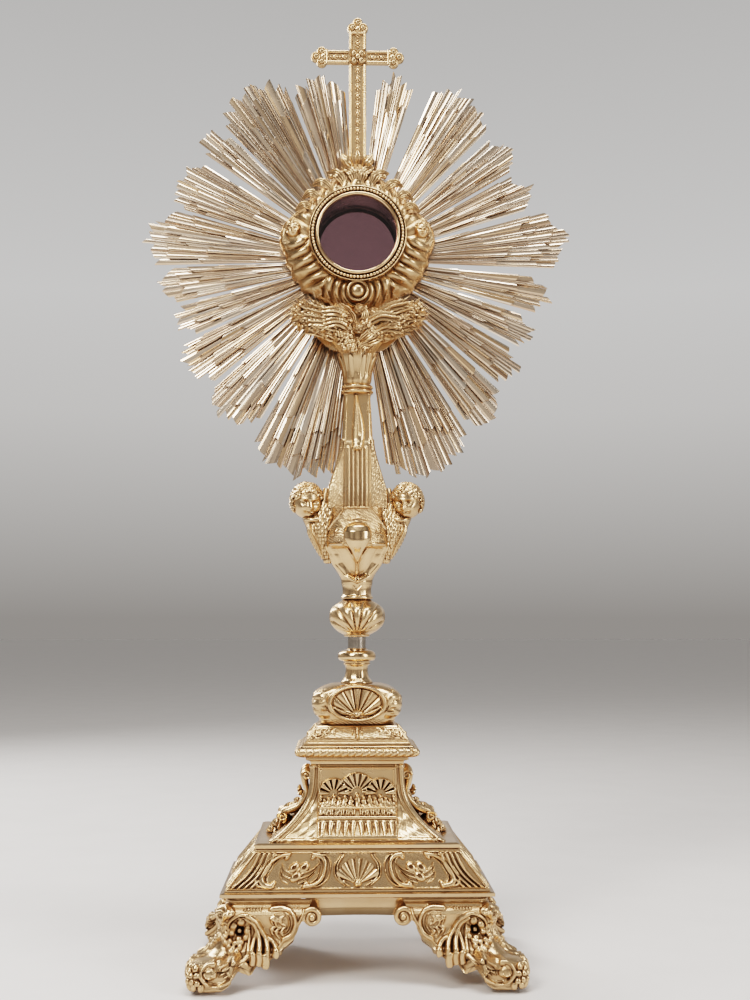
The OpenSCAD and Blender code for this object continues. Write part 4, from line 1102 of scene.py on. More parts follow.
def neck_and_saucer():
    part = turned(Z_NECK, [(11.5, 0.1), (11.6, 0.8), (11, 2), (9.2, 4.2), (8.1, 8.5), (8.2, 12),
                           (9.2, 14.6), (9.8, Z_SAUCER - 0.2 - Z_NECK)], 120,
                  lambda r, a, z: r + 0.22 * np.abs(np.cos(6 * a)))
    part.join(hoop_z(9.2, Z_NECK + 14.4, 0.8))
    return part

def hoop_z(radius, z, thick, n=96):
    """Plain ring round the stem."""
    a = np.linspace(0, 2 * np.pi, n, endpoint=False)[:, None]
    b = np.linspace(0, 2 * np.pi, 12, endpoint=False)[None, :]
    r = radius + thick * np.cos(b)
    points = np.stack([r * np.sin(a), -r * np.cos(a), z + thick * np.sin(b) + 0 * a], -1)
    return Builder().add(points, grid_quads(n, 12, True, True))

def saucer_ring():
    return turned(Z_SAUCER, [(9.8, 0), (12.8, 0.5), (14.0, 2.2), (14.1, 4.2), (13.2, 6.2),
                             (11.2, 7.6), (8.6, 8.3), (7.2, 8.9), (7.1, 9.4)], 120)

def knop_shape(r, a, z):
    """Scallop shell on the front and the back: ribs that spread from below."""
    x, y = r * np.sin(a), -r * np.cos(a)
    h = (z - Z_KNOP)
    fan = np.arctan2(x, h - 0.6)
    ribs = np.abs(np.cos(np.pi * fan / 0.42)) ** 0.6
    face = smooth01((np.abs(y) / (np.abs(r) + 1e-6) - 0.18) / 0.3)
    fade = smooth01((h - 3) / 4) * smooth01((27.5 - h) / 4)
    side_rib = np.abs(np.cos(3.5 * (a - np.pi / 2))) ** 0.6
    return r + fade * (face * (2.3 * ribs - 1.5) + (1 - face) * (1.2 * side_rib - 0.8))

def shell_knop():
    part = turned(Z_KNOP, [(8.4, 0), (9.4, 1.2), (15.0, 4.4), (19.6, 9.6), (20.8, 15.2),
                           (19.6, 20.4), (14.8, 24.8), (10.9, 27.2), (10.2, 27.9)],
                  288, knop_shape, 14)
    return part.join(hoop_z(8.8, Z_KNOP + 1.0, 0.9))

def upper_neck_piece():
    z = Z_UPPER
    part = turned(z, [(11.6, 0), (12, 0.8), (11.8, 1.8), (10.9, 3.2), (10.7, 6), (10.9, 8.6),
                      (11.5, 10.9)], 120,
                  lambda r, a, zz: r - 0.25 * np.abs(np.sin(4 * a)) ** 3)
    for k in range(2):
        path = curve([(-3.2, z + 9.6), (0, z + 6.4), (3.2, z + 9.6)], 8)
        y = -11 if k == 0 else 11
        part.join(sweep(on_plane(path, y), 0.7, 8))
    return part

# Outline of the shield on the urn: distance from the middle and height
SHIELD = [(0, 56.4), (9.2, 56.2), (21.4, 39.6), (22.8, 32), (21.8, 25), (16.8, 14.2),
          (9.2, 5.6), (0, 1.4)]

def urn_shape(r, a, z):
    """Shield with a heart bud over two polished hollows, the same on the back."""
    x, h = r * np.sin(a), z - Z_URN
    front = smooth01((np.abs(np.cos(a)) - 0.12) / 0.25)
    side = np.abs(x)
    border = np.minimum.reduce([off_line(side, h, *p, *q) for p, q in zip(SHIELD, SHIELD[1:])])
    limit = along_outline([(high, out) for out, high in SHIELD[::-1]], h)
    within = smooth01((limit - side) / 1.2 + 0.5)
    plate = 1.5 * within * smooth01((h - 22) / 6)
    rim = 1.3 * ridge(border, 2.2)
    wide = np.interp(h, [15.6, 20, 25, 29, 33, 38, 42, 44.6, 45.6],
                     [0.1, 2.4, 4.8, 7.2, 9.2, 9.6, 8.0, 4.2, 0.1])
    tall = np.interp(h, [15.6, 20, 25, 31, 38, 42, 44.6, 45.6],
                     [0.4, 2.0, 3.6, 5.2, 5.4, 4.0, 1.6, 0])
    heart = tall * np.sqrt(np.clip(1 - (x / (wide + 1e-6)) ** 2, 0, 1))
    bars = 1.2 * ridge(off_line(side, h, 10, 29.4, 19, 29.0), 1.8)
    sunk = smooth01((28.4 - h) / 2.6) * smooth01((border - 1.0) / 3.4)
    sunk = sunk * smooth01((side - wide) / 2.4 + 0.2) * within
    seam = 1.1 * ridge(off_line(side, h, 1.1, 3, 1.1, 15.6), 1.4) \
        + 1.0 * ridge(off_line(side, h, 1.2, 15.6, 9.8, 27.6), 1.5)
    chased = 0.42 * grain(x * 1.5, h * 1.5) * smooth01((h - 30) / 2) * (heart < 0.3)
    petal = np.arctan2(h - 37.0, side - 14.4)
    flowers = 1.3 * np.exp(-((side - 14.4) ** 2 + (h - 37.0) ** 2) / 7.4) \
        * np.abs(np.cos(2.5 * petal))
    brow = 0.9 * ridge(off_line(side, h, 0, 48.4, 6.2, 47.2), 1.6)
    return r + front * (plate + rim + heart + bars + seam - 4.2 * sunk + chased + flowers
                        + brow)

def urn():
    profile = [(11.5, 0), (11.8, 1.4), (12.0, 3.6), (13.8, 7.4), (17.6, 13.2), (21.0, 19.6),
               (23.2, 26), (23.9, 32), (23.3, 38), (22.2, 45), (21.6, 51), (21.6, 56.9)]
    return turned(Z_URN, profile, 420, urn_shape, 18)

def shaft_face(x, z, long):
    """Flutes, matted side shields and a hanging bud on a tapering shaft."""
    h, side = z - Z_SHAFT, np.abs(x)
    top = Z_COLLAR - Z_SHAFT
    flutes = np.zeros_like(x)
    for centre in (0, 3.3, 6.6):
        flutes = np.maximum(flutes, ridge(side - centre, 2.4))
    flutes = 1.1 * flutes * smooth01((46 - h) / 1.5 + 0.5) * (side < 8.6)
    strip = 1.0 * smooth01((10.2 - side) / 0.8) * smooth01((52 - h) / 4)
    matted = 0.34 * grain(1.9 * x, 1.9 * h) + 0.26 * grain(0.9 * x + 4, 0.9 * h)
    shield = (side > 10.6) & (h < 52)
    edge = smooth_steps([0, 10, 16, 28.6, 43.4, 52.6], [22.8, 22.4, 21.4, 17.4, 13.2, 12.0],
                        np.clip(h, 0, 52.6))
    rim = 0.7 * ridge(side - edge + 1.2, 2.0) * (h < 52)
    spread = 1.2 + 3.7 * np.sin(np.pi * np.clip((h - 39) / 44, 0, 1) ** 0.7) ** 1.1
    bud_x = x - 0.9 * np.sin((h - 44) / 9)
    inside = np.clip(1 - (bud_x / spread) ** 2, 0, 1)
    bud = 3.0 * np.sqrt(inside) * smooth01((h - 42) / 2.4) * smooth01((top - h) / 2)
    groove = 0.9 * np.exp(-((bud_x - 0.8) / 0.7) ** 2) * (bud > 0.5) * smooth01((h - 52) / 6)
    panel_edge = 0.5 * ridge(side - (9.4 - 0.03 * (h - 46)), 1.4) * (h > 48)
    if not long:
        return np.where(h < 52, matted, 0)
    return flutes + strip + np.where(shield, matted, 0) + rim + bud - groove + panel_edge

def shaft_piece():
    z = np.linspace(Z_SHAFT + 0.05, Z_COLLAR - 0.05, 230)
    h = z - Z_SHAFT
    wide = smooth_steps([0, 10, 16, 28.6, 43.4, 51.8, 53, 70, 83.4, 87],
                        [45.6, 45.2, 43, 35.2, 27.2, 25, 23.4, 21.6, 20, 21], h)
    deep = smooth_steps([0, 10, 16, 28.6, 43.4, 52.6, 83.4, 87],
                        [23.4, 24.8, 24.6, 23, 20.8, 18.8, 15.6, 17], h)
    return block(z, wide, deep, 2.4, 180, 60, shaft_face)

def collar_piece():
    return turned(Z_COLLAR, [(10, 0), (11.2, 0.5), (12.2, 1.5), (12.3, 2.5), (11.3, 3.5),
                             (10.8, 4.0), (11.5, 4.6), (12.1, 5.6), (11.6, 6.8), (10.4, 7.6),
                             (9.9, 7.95)])

neck_and_saucer().emit("turned_neck", gilt_plain, replaces=("flared_neck",))
saucer_ring().emit("turned_saucer", gilt_plain, replaces=("saucer",))
shell_knop().emit("scallop_knop", gilt, replaces=("shell_knop",), crease=50)
upper_neck_piece().emit("short_neck", gilt_plain, replaces=("upper_neck",))
urn().emit("shield_urn", gilt_plain, replaces=("urn_knot",), crease=50)
shaft_piece().emit("fluted_shaft", gilt_fine, replaces=("shaft",), crease=50)
collar_piece().emit("double_collar", gilt_plain, replaces=("collar_ring",))

# ------------------------------------------------------------------ large cherubs

def wing_body(side, z):
    """Folded wings below a head: a tapering mass that hugs the urn, laid with feathers."""
    h = np.linspace(-48, -5, 70)[:, None]
    t = np.linspace(-1, 1, 48)[None, :]
    outer = smooth_steps([-48, -44, -38, -30, -23, -17, -11, -5],
                         [22.6, 25.4, 29.4, 33.6, 36, 35.4, 32, 29], h)
    inner = np.interp(h, [-48, -32, -24, -15, -5], [18.5, 19.5, 18, 15, 13])
    deep = smooth_steps([-48, -40, -28, -18, -5], [4, 7.6, 11, 10.8, 8], h)
    turn = t * np.pi / 2
    reach = (outer - inner) * np.abs(np.cos(turn)) ** 0.62
    front = deep * np.sign(turn) * np.abs(np.sin(turn)) ** 0.8
    points = np.stack([side * (inner + reach), front, z + h + 0 * t], -1)
    part = loop_solid(points)
    for row in range(15):
        level_h = -46 + 2.7 * row
        size = 1.5 + 0.07 * row
        for k in range(-6, 7):
            q = (k + 0.5 * (row % 2)) / 6.6
            if abs(q) > 0.93:
                continue
            i = int(np.argmin(np.abs(h[:, 0] - level_h)))
            j = int(round((q + 1) / 2 * 47))
            p = points[i, j]
            part.join(ball(p, size * 1.25, 9, 6, (0.85, 0.85, 1.45)))
    return part

def large_cherub(side):
    """Winged child's head that leans out from the shoulder of the urn and looks down."""
    z = Z_SHAFT + 7.6
    part = head((side * 37.8, -3.4, z - 2.2), 13.2, look=side * -16, tip=12, curls=330,
                seed=20 + side)
    part.join(wing_body(side, z))
    neck = curve([(side * 35.4, -1.5, z - 9), (side * 32.6, 0, z - 15), (side * 28, 1, z - 23)],
                 8)
    part.join(sweep(neck, np.linspace(7.4, 8.6, len(neck)), 24))
    for y, lean in ((-4.5, 0), (3.5, 1.5)):
        collar = curve([(side * 22.6, y, z + 6.4 + lean), (side * 24.4, y - 1, z - 3),
                        (side * 26, y - 2.5, z - 11), (side * 29, y, z - 18)], 8)
        part.join(sweep(collar, 3.2, 12))
    scarf = curve([(side * 24, -6, z - 13), (side * 30, -11.5, z - 16.6),
                   (side * 37, -10, z - 16.4), (side * 40, -3, z - 14)], 8)
    part.join(sweep(scarf, 1.5, 10))
    for k in range(3):
        path = curve([(side * (35 - 3 * k), -10 + k, z - 19 - 3 * k),
                      (side * (34 - 2.4 * k), -12.4 + k, z - 26 - 4 * k),
                      (side * (28 - 1.4 * k), -9 + k, z - 38 - 4 * k)], 9)
        part.join(leaf_blade(path, 5.0, 1.2, -0.25, 5, 11))
    return part

for side, label in SIDES:
    large_cherub(side).emit(f"winged_head_{label}", gilt_fine, replaces=(f"cherub_{label}",))

# ------------------------------------------------------------------ cross

def cross_piece():
    """Latin cross with a raised rim, a beaded recess, three-lobed ends and a leafy foot."""
    high = box("cross")[1]
    top, span = high[2], high[0]
    arm, foot = top - 32, WINDOW_Z + 60
    back = RIDGE_TOP - 0.1
    part = Builder()
    bar, sill = 6.5, 5.2
    limbs = [((-bar, foot + 2), (bar, top - 11.5)), ((-span + 8, arm - sill),
             (span - 8, arm + sill))]
    for k, ((x0, z0), (x1, z1)) in enumerate(limbs):
        loop = np.array([(x0, z0), (x1, z0), (x1, z1), (x0, z1)])
        part.join(loop_solid([on_plane(loop, 0.2 + 0.07 * k),
                              on_plane(loop, back - 0.07 * k)]))
    rim_w = 1.0
    paths = []
    for s in (-1, 1):
        paths += [[(s * (bar - rim_w), foot + 3), (s * (bar - rim_w), arm - sill - 1)],
                  [(s * (bar - rim_w), arm + sill + 1), (s * (bar - rim_w), top - 11)],
                  [(s * (bar + 1), arm - sill + rim_w), (s * (span - 9), arm - sill + rim_w)],
                  [(s * (bar + 1), arm + sill - rim_w), (s * (span - 9), arm + sill - rim_w)]]
    for a, b in paths:
        line = np.linspace(a, b, 24)
        part.join(sweep(on_plane(line, -0.1), 1.25, 12))
    beads = [((0, foot + 12), (0, arm - 8), 30), ((0, arm + 8), (0, top - 13), 5)]
    beads += [((s * 9, arm), (s * (span - 11), arm), 8) for s in (-1, 1)]
    for a, b, count in beads:
        for k, p in enumerate(np.linspace(a, b, count)):
            if k % 3 == 1:
                part.join(ball((p[0], -0.1, p[1]), 1.5, 12, 7, (1, 0.8, 1)))
                for t in range(4):
                    q = math.pi / 4 + t * math.pi / 2
                    part.join(ball((p[0] + 1.9 * math.cos(q), 0.1, p[1] + 1.9 * math.sin(q)),
                                   0.8, 8, 5))
            else:
                part.join(ball((p[0], 0.05, p[1]), 0.95, 10, 7))
    for cx, cz, ux, uz in ((0, top, 0, 1), (-span, arm, -1, 0), (span, arm, 1, 0)):
        for k, (along, across) in enumerate(((-4.1, 0), (-8.4, 4.1), (-8.4, -4.1))):
            x = cx + ux * along + uz * across
            z = cz + uz * along + ux * across
            rear = back - 0.14 - 0.05 * k
            lobe = curve([(0.1, -2.0), (1.4, -1.9), (2.2, -0.8), (2.9, -1.2), (3.7, -0.9),
                          (4.05, 0.4), (4.05, rear - 0.2), (3.6, rear)], 4)
            part.join(hoop(np.vstack([lobe, [(0.1, rear)]]), 40, (x, z)))
        neck_x, neck_z = cx - ux * 9.4, cz - uz * 9.4
        half_u = np.array([uz, ux]) * 5.6
        line = np.linspace(arr([neck_x, neck_z]) - half_u, arr([neck_x, neck_z]) + half_u, 12)
        part.join(sweep(on_plane(line + arr([-ux, -uz]) * 3.2, -0.4), 1.1, 10))
        part.join(ball((neck_x, -0.8, neck_z), 2.4, 14, 9, (1, 0.6, 1)))
    for k in range(4):
        a = math.pi / 4 + k * math.pi / 2
        part.join(hoop(np.vstack([curve([(0.1, -2.2), (1.5, -2.0), (2.4, -1.0), (3.1, -1.4),
                                         (3.5, 0.2), (3.5, 2)], 4), [(0.1, 2)]]), 32,
                       (4.1 * math.cos(a), arm + 4.1 * math.sin(a))))
    part.join(ball((0, -1.8, arm), 2.1, 16, 9, (1, 0.7, 1)))
    for s in (-1, 0, 1):
        x, z = 8.2 * s, foot + 3.6 + 3.2 * (s == 0)
        part.join(ball((x, -0.8, z), 3.9 if s else 3.4, 22, 13, (1, 0.8, 1.12)))
        path = curve([(x * 0.5, -1, z - 5), (x, -3.6, z), (x * 1.5, -2.4, z + 5.4)], 10)
        part.join(leaf_blade(path, 6.6, 1.2, 0.3, 3, 11))
    plate = np.array([(-11, foot + 1), (0, foot + 0.4), (11, foot + 1), (13.4, foot + 5),
                      (7, foot + 9), (-7, foot + 9), (-13.4, foot + 5)])
    part.join(loop_solid([on_plane(plate, -0.8), on_plane(plate, back - 0.3)]))
    tang = np.array([(-3, WINDOW_Z + 40), (3, WINDOW_Z + 40), (3, foot + 4), (-3, foot + 4)])
    part.join(loop_solid([on_plane(tang, 2.4), on_plane(tang, 5.4)]))
    return part

cross_piece().emit("beaded_cross", gilt_fine, replaces=("cross",))

# ------------------------------------------------------------------ cap of the base

Z_CORNICE, Z_COVER = level("cornice")
Z_DOME = level("cap_dome")[0]

def dome_leaves(t, z, long):
    """Chased shoulders of the dome: a woven foot band and leafy lumps at the corners."""
    h, side = z - Z_DOME, np.abs(t)
    band = 0.6 * np.abs(np.sin(0.9 * t + 1.6 * h)) * ridge(h - 2.4, 4.4)
    out = side - (18 if long else 10)
    turn = np.arctan2(h - 12, out - 4)
    reach = np.hypot(h - 12, out - 4)
    lobes = np.abs(np.cos(3.4 * turn + 0.22 * reach)) ** 0.7 * smooth01(out / 5)
    rise = 1.6 * lobes * smooth01((h - 5) / 3) * smooth01((27 - h) / 4)
    return band + rise - 0.5 * smooth01(out / 5)

def dome_piece():
    z = np.linspace(Z_DOME + 0.05, Z_NECK - 0.05, 110)
    h = z - Z_DOME
    marks = [0, 3, 8, 13, 18, 22, 26, 28.4, 29.5]
    wide = smooth_steps(marks, [50, 54.4, 60, 63.4, 64, 62, 54.6, 44, 35], h)
    deep = smooth_steps(marks, [42, 45.6, 49, 51.6, 52.4, 51, 46, 38.4, 32], h)
    part = block(z, wide, deep, 9.0, 150, 110, dome_leaves)
    for sx in (-1, 1):
        for sy in (-1, 1):
            for k, (w0, curl) in enumerate(((9, 1.0), (7, 0.7))):
                path = curve([(sx * 20, sy * 17.5, Z_DOME + 5 + 2 * k),
                              (sx * 26, sy * 21.6, Z_DOME + 12 + 3 * k),
                              (sx * (28.4 - 2 * k), sy * (22.8 - k), Z_DOME + 20 + 2 * k),
                              (sx * (25.6 - 3 * k), sy * 20.6, Z_DOME + 26.4)], 10)
                part.join(leaf_blade(path, w0, 1.4, 0.25 * curl, 4, 13, up=(sx, sy, 0.3)))
            eye = spiral(0, 0, 4.2, 0.8, 200, 560, 40)
            coil = np.column_stack([sx * (28.6 + 0.5 * eye[:, 0]),
                                    sy * (20.6 - 0.7 * eye[:, 0]), Z_DOME + 17 + eye[:, 1]])
            part.join(sweep(coil, np.linspace(1.3, 0.8, 40), 8, up=(sx, sy, 0)))
    return part

def oval_shell(sign):
    """Oval medallion: a plain ring round a palmette that spreads from its lower edge."""
    zc, a_x, a_z = Z_DOME + 16.4, 21.9, 13.2
    n, m = 260, 64
    a = np.linspace(0, 2 * np.pi, n, endpoint=False)[:, None]
    rho = np.linspace(0.004, 1, m)[None, :]
    x, h = a_x * rho * np.sin(a), a_z * rho * np.cos(a)
    ring = 2.4 * ridge(rho - 0.915, 0.17)
    floor_h = -1.4 * smooth01((0.86 - rho) / 0.06)
    fx, fz = x, h + 9.6
    turn, reach = np.degrees(np.arctan2(fx, fz)), np.hypot(fx, fz * 0.92)
    ribs = np.abs(np.cos(np.pi * turn / 19)) ** 0.6
    fade = smooth01((reach - 3) / 3) * smooth01((0.86 - rho) / 0.10)
    spread = smooth01((104 - np.abs(turn)) / 12)
    palm = (1.7 * ribs + 0.5 * np.abs(np.cos(np.pi * turn / 6.3)) * (np.abs(turn) < 9)) \
        * fade * spread
    bead = 1.6 * ridge(np.hypot(fx, fz - 1.2), 4.2)
    lower = 1.0 * ridge(np.abs(h + 7.6 - 0.016 * x * x), 2.2) * (rho < 0.84)
    y = np.minimum(-28.0 - ring - floor_h - palm - np.maximum(bead, lower), -26.4) * sign
    points = np.stack([x, y, zc + h], -1)
    back = np.stack([x[:, -1], np.full(n, -22.0 * sign), zc + h[:, -1]], -1)[:, None]
    points = np.concatenate([points, back], 1)
    polys = [list(np.arange(n) * (m + 1))[::-1], list(np.arange(n) * (m + 1) + m)]
    return Builder().add(points, grid_quads(n, m + 1, True), polys)

def cover_piece():
    """Sloping cover with a moulded foot, corner scrolls and a bud under the medallion."""
    z0 = Z_COVER
    profile_z = [0.05, 0.4, 1.4, 1.9, 2.2, 2.9, 3.4, 11.4, 12.1, 12.95]
    wide = [76, 77, 77, 75.6, 74.4, 74.2, 72.6, 59.2, 59.4, 58]
    deep = [62, 63, 63, 62, 61, 60.8, 59.4, 48.8, 49, 47.6]
    part = block([z0 + h for h in profile_z], wide, deep, 0.9, 40, 30)
    for width, low, high, twin in (
            (70, (36.1, -29.9, z0 + 3.4), (29.6, -24.6, z0 + 11.4), True),
            (56, (29.4, -36.5, z0 + 3.4), (24.2, -29.8, z0 + 11.4), True)):
        relief = Relief(width, 10, 0.4, twin)
        edge = width / 2
        relief.border(0.9, 0.6, 0.2)
        relief.volute(edge - 6.2, 3.8, 3.0, 180, 1.1, 1.5, 1.3)
        relief.leaf(curve([(edge - 9, 4), (edge - 13, 7.6), (edge - 19, 7)], 8), 4.2, 1.3, 3)
        relief.leaf(curve([(edge - 3, 2), (edge - 4, 6.5), (edge - 8, 9)], 8), 3.4, 1.2, 3)
        relief.stroke(curve([(edge - 9, 2.2), (edge - 16, 1.6), (4, 2.2)], 8), 0.9, 0.6,
                      (1, 0.6))
        relief.stroke([(0, 9.6), (0, 1.6)], 3.8, 2.2, (0.8, 0.5))
        relief.dome(0, 2.2, 1.5, 2.0, 2.4)
        relief.stroke([(3.4, 9.8), (3.8, 4)], 1.2, 1.2, (1, 0.5))
        relief.ground(1.1, 0.12)
        side = panel(relief, low, high, 0.8)
        for quarter in ((0, 2) if width == 70 else (1, 3)):
            part.join(side, lambda p, q=quarter: turn_side(p, q))
    return part

def cornice_piece():
    """Square moulding with a leafy torus."""
    z0 = Z_CORNICE
    rows = [(0.05, 67, 54), (2.2, 68, 55), (2.5, 69.4, 56.4), (3.2, 74, 60), (5.0, 74, 60)]
    for k in range(13):
        a = math.radians(-90 + 15 * k)
        rows.append((9 + 3.6 * math.sin(a), 79 + 10 * math.cos(a), 65 + 10 * math.cos(a)))
    rows += [(12.9, 82, 68), (13.95, 80, 66)]
    z = [z0 + r[0] for r in rows]

    def leaves(t, level_z, long):
        h = level_z - z0 - 9
        on = smooth01((3.4 - np.abs(h)) / 1.2)
        leaf = np.abs(np.sin(0.62 * t + 0.5 * np.abs(h))) ** 0.6
        veins = 0.3 * np.abs(np.sin(2.6 * t + 0.9 * h))
        return on * (1.4 * leaf + veins - 1.2)

    return block(z, [r[1] for r in rows], [r[2] for r in rows], 1.4, 220, 170, leaves)

dome_piece().emit("chased_dome", gilt_fine, replaces=("cap_dome",), crease=50)
oval_shell(1).join(oval_shell(-1)).emit("oval_medallions", gilt_fine, replaces=("cartouches",), crease=50)
cover_piece().emit("scrolled_cover", gilt_fine, replaces=("cap_cover",))
cornice_piece().emit("leafy_cornice", gilt_fine, replaces=("cornice",), crease=50)

# ------------------------------------------------------------------ concave body

Z_BODY = level("body_shell")[0]
BODY_H = Z_CORNICE - Z_BODY
BODY_AT = [0, 0.163, 0.346, 0.53, 0.725, 1]
BODY_WIDE, BODY_DEEP = [124, 102, 84, 72.4, 68, 66], [88, 75.6, 64.6, 57.2, 54.8, 53.8]

def body_size(z, sizes):
    return smooth_steps(BODY_AT, sizes, (z - Z_BODY) / BODY_H)

def body_face(t, z, long):
    """Double border that follows the curved edges, matted ground and scattered leaves."""
    h = z - Z_BODY
    edge = body_size(z, BODY_WIDE if long else BODY_DEEP) / 2 - np.abs(t)
    lines = 1.3 * ridge(edge - 1.8, 3.0) + 0.9 * ridge(edge - 5.4, 1.6)
    foot = 0.9 * ridge(h - 1.4, 2.2) + 0.8 * ridge(BODY_H - h - 1.6, 2.6)
    inner = smooth01((edge - 6) / 1.5)
    wave = np.sin(0.55 * edge + 0.42 * h) * np.sin(0.5 * h - 0.3 * edge)
    leaf = 0.5 * np.clip(wave, 0, 1) ** 0.6 * inner * smooth01((30 - h) / 8)
    return lines + foot + leaf + 0.16 * grain(2.6 * t, 2.6 * h) * inner

def body_piece():
    z = np.linspace(Z_BODY + 0.03, Z_CORNICE - 0.03, 150)
    return block(z, body_size(z, BODY_WIDE) - 1.6, body_size(z, BODY_DEEP) - 1.6, 0.8, 260, 180,
                 body_face)

def on_body(relief, z0, stand_off):
    """Puts a relief on the front face of the body."""
    z = z0 + relief.Y
    y = -body_size(z, BODY_DEEP) / 2 - stand_off
    return np.stack([relief.X, y, z], -1)

def supper_plaque():
    """Framed relief: three shell canopies over a row of plain robed figures at a long
    table, a sill, and a row of tongues below."""
    r = Relief(57, 48.6, 0.26)
    r.H[:] = 0.2
    r.border(1.6, 1.1, 0.1)
    r.stroke([(26.4, 14), (26.4, 46)], 1.3, 0.9)
    for x, base_y, reach, ribs in ((0, 30.5, 13.6, 9), (16.8, 29.5, 10.8, 7)):
        r.fan(x, base_y, 3.4, reach, -96, 96, ribs, 2.2, 0.2)
        for k in range(1, ribs):
            a = math.radians(192 * k / ribs - 96)
            r.stroke([(x + q * reach * math.sin(a), base_y + q * reach * math.cos(a))
                      for q in (0.36, 0.92)], 1.7, 2.6, (0.5, 1), sink=True)
        r.stroke([(x + reach * math.sin(a), base_y + reach * math.cos(a))
                  for a in np.radians(np.linspace(-96, 96, 24))], 1.0, 1.4, base=0.3)
    people = [(0, 28.2, 1.7), (4.6, 26.6, 1.5), (8.8, 27.4, 1.5), (12.8, 26.2, 1.5),
              (16.6, 27.6, 1.5), (20.4, 26.0, 1.5), (23.6, 25.0, 1.4)]
    r.twin = False
    for x, y, size in people:
        for s in ((-1, 1) if x else (1,)):
            lean = s * (0.5 + 0.06 * x)
            r.stroke([(s * x, y - 1.2), (s * x + lean, y - 7.5)], 4.6, 1.9, (0.8, 1.1), 0.3)
            r.stroke([(s * x - s * 1.6, y - 2.6), (s * x + s * 2.2, y - 6.2)], 1.5, 2.5,
                     (1, 0.8), 0.3)
            r.dome(s * x, y, size, size * 1.18, 2.9, 0.3)
    r.twin = True
    r.stroke([(-24.6, 19.6), (24.6, 19.6)], 2.2, 2.8, base=0.3)
    for k in range(12):
        x = 1.9 + 1.95 * k
        r.stroke([(x, 19), (x + 0.35 * (-1) ** k, 15.4)], 1.7, 2.0 - 0.4 * (k % 2), (1, 0.8),
                 0.2)
    r.beads([(3 + 4.2 * k, 21.2) for k in range(5)], 1.0, 2.2, 0.6)
    r.stroke([(-27.4, 13.2), (27.4, 13.2)], 3.0, 2.6, base=0.2)
    r.stroke([(-27.4, 11.2), (27.4, 11.2)], 1.0, 1.6, base=0.2)
    for k in range(5):
        x = 2.9 + 5.4 * k
        r.stroke(curve([(x - 0.4, 10), (x + 0.2, 6), (x + 0.4, 2.6)], 5), 4.4, 1.9,
                 (1, 0.62), 0.2)
        r.stroke([(x + 2.7, 9.6), (x + 2.7, 4)], 0.9, 1.1, (1, 0.5), 0.2)
    r.stroke([(-27, 1.6), (27, 1.6)], 1.2, 1.3, base=0.2)
    for y, size in ((16, 2.0), (19.5, 1.5), (22.6, 1.9), (25.4, 1.2), (27.4, 1.6)):
        r.dome(26.2, y, size, 1.6, 2.6, 0.3)
    r.ground(0.9, 0.12)
    surface = on_body(r, Z_BODY + 1.6, 0.9)
    return shell(surface, r.H * 0.9, 1.6)

def side_mount():
    """Scrolled leaf mount on a short side of the body."""
    part = Builder()
    z = Z_BODY
    spine = curve([(33.6, z + 44.6), (36.8, z + 46.0), (38.6, z + 42.4), (38.0, z + 36.4),
                   (36.8, z + 31), (38.2, z + 26), (42.6, z + 20.6), (48.2, z + 17.6),
                   (53.4, z + 15.4), (56.2, z + 11.8)], 10)
    spine3 = np.column_stack([spine[:, 0], 0 * spine[:, 0], spine[:, 1]])
    for y in (-11.4, -5.7, 0, 5.7, 11.4):
        wide = 3.2 if y else 4.0
        t = np.linspace(0, 1, len(spine3))
        part.join(sweep(spine3 + arr([0, y, 0]) * (0.7 + 0.3 * np.sin(np.pi * t))[:, None],
                        wide * (0.62 + 0.2 * np.sin(3 * np.pi * t)), 10, 0.9))
    for x, h, r0 in ((36.6, 42.6, 3.5), (54.2, 13.0, 3.4)):
        coil = spiral(x, z + h, r0, 0.6, 0, 520, 60)
        for y in (-14.0, 14.0):
            part.join(sweep(np.column_stack([coil[:, 0], np.full(60, y), coil[:, 1]]),
                            np.linspace(1.2, 0.7, 60), 8))
        part.join(loop_solid([np.column_stack([x + r0 * 0.86 * np.cos(q), np.full(24, y),
                                               z + h + r0 * 0.86 * np.sin(q)])
                              for y in (-13.4, 13.4)
                              for q in [np.linspace(0, 2 * np.pi, 24, endpoint=False)]]))
    for x0, h0, x1, h1, x2, h2, wide in (
            (36, 28, 40, 30.4, 41.6, 34.6, 13), (38, 22, 43.6, 24.6, 46.8, 23.6, 17),
            (42, 16, 49, 20.6, 54.2, 18.8, 21), (46, 10, 54.6, 14.2, 59.2, 11.2, 23),
            (50, 6, 59, 9.4, 63.8, 5.8, 22), (54, 2.6, 62.4, 5.0, 66.8, 1.4, 19)):
        path = curve([(x0, 0, z + h0), (x1, 0, z + h1), (x2, 0, z + h2)], 12)
        part.join(leaf_blade(path, wide, 1.2, -0.28, 4, 17, up=(-0.5, 0, 1)))
    return part

body_piece().emit("concave_body", gilt_fine, replaces=("body_shell",), crease=50)
both_ways(supper_plaque()).emit("relief_plaques", gilt_fine, replaces=("plaques",), crease=60)
both_ways(side_mount()).emit("side_leaf_mounts", gilt_fine, replaces=("side_scrolls",))

# ------------------------------------------------------------------ lower panel

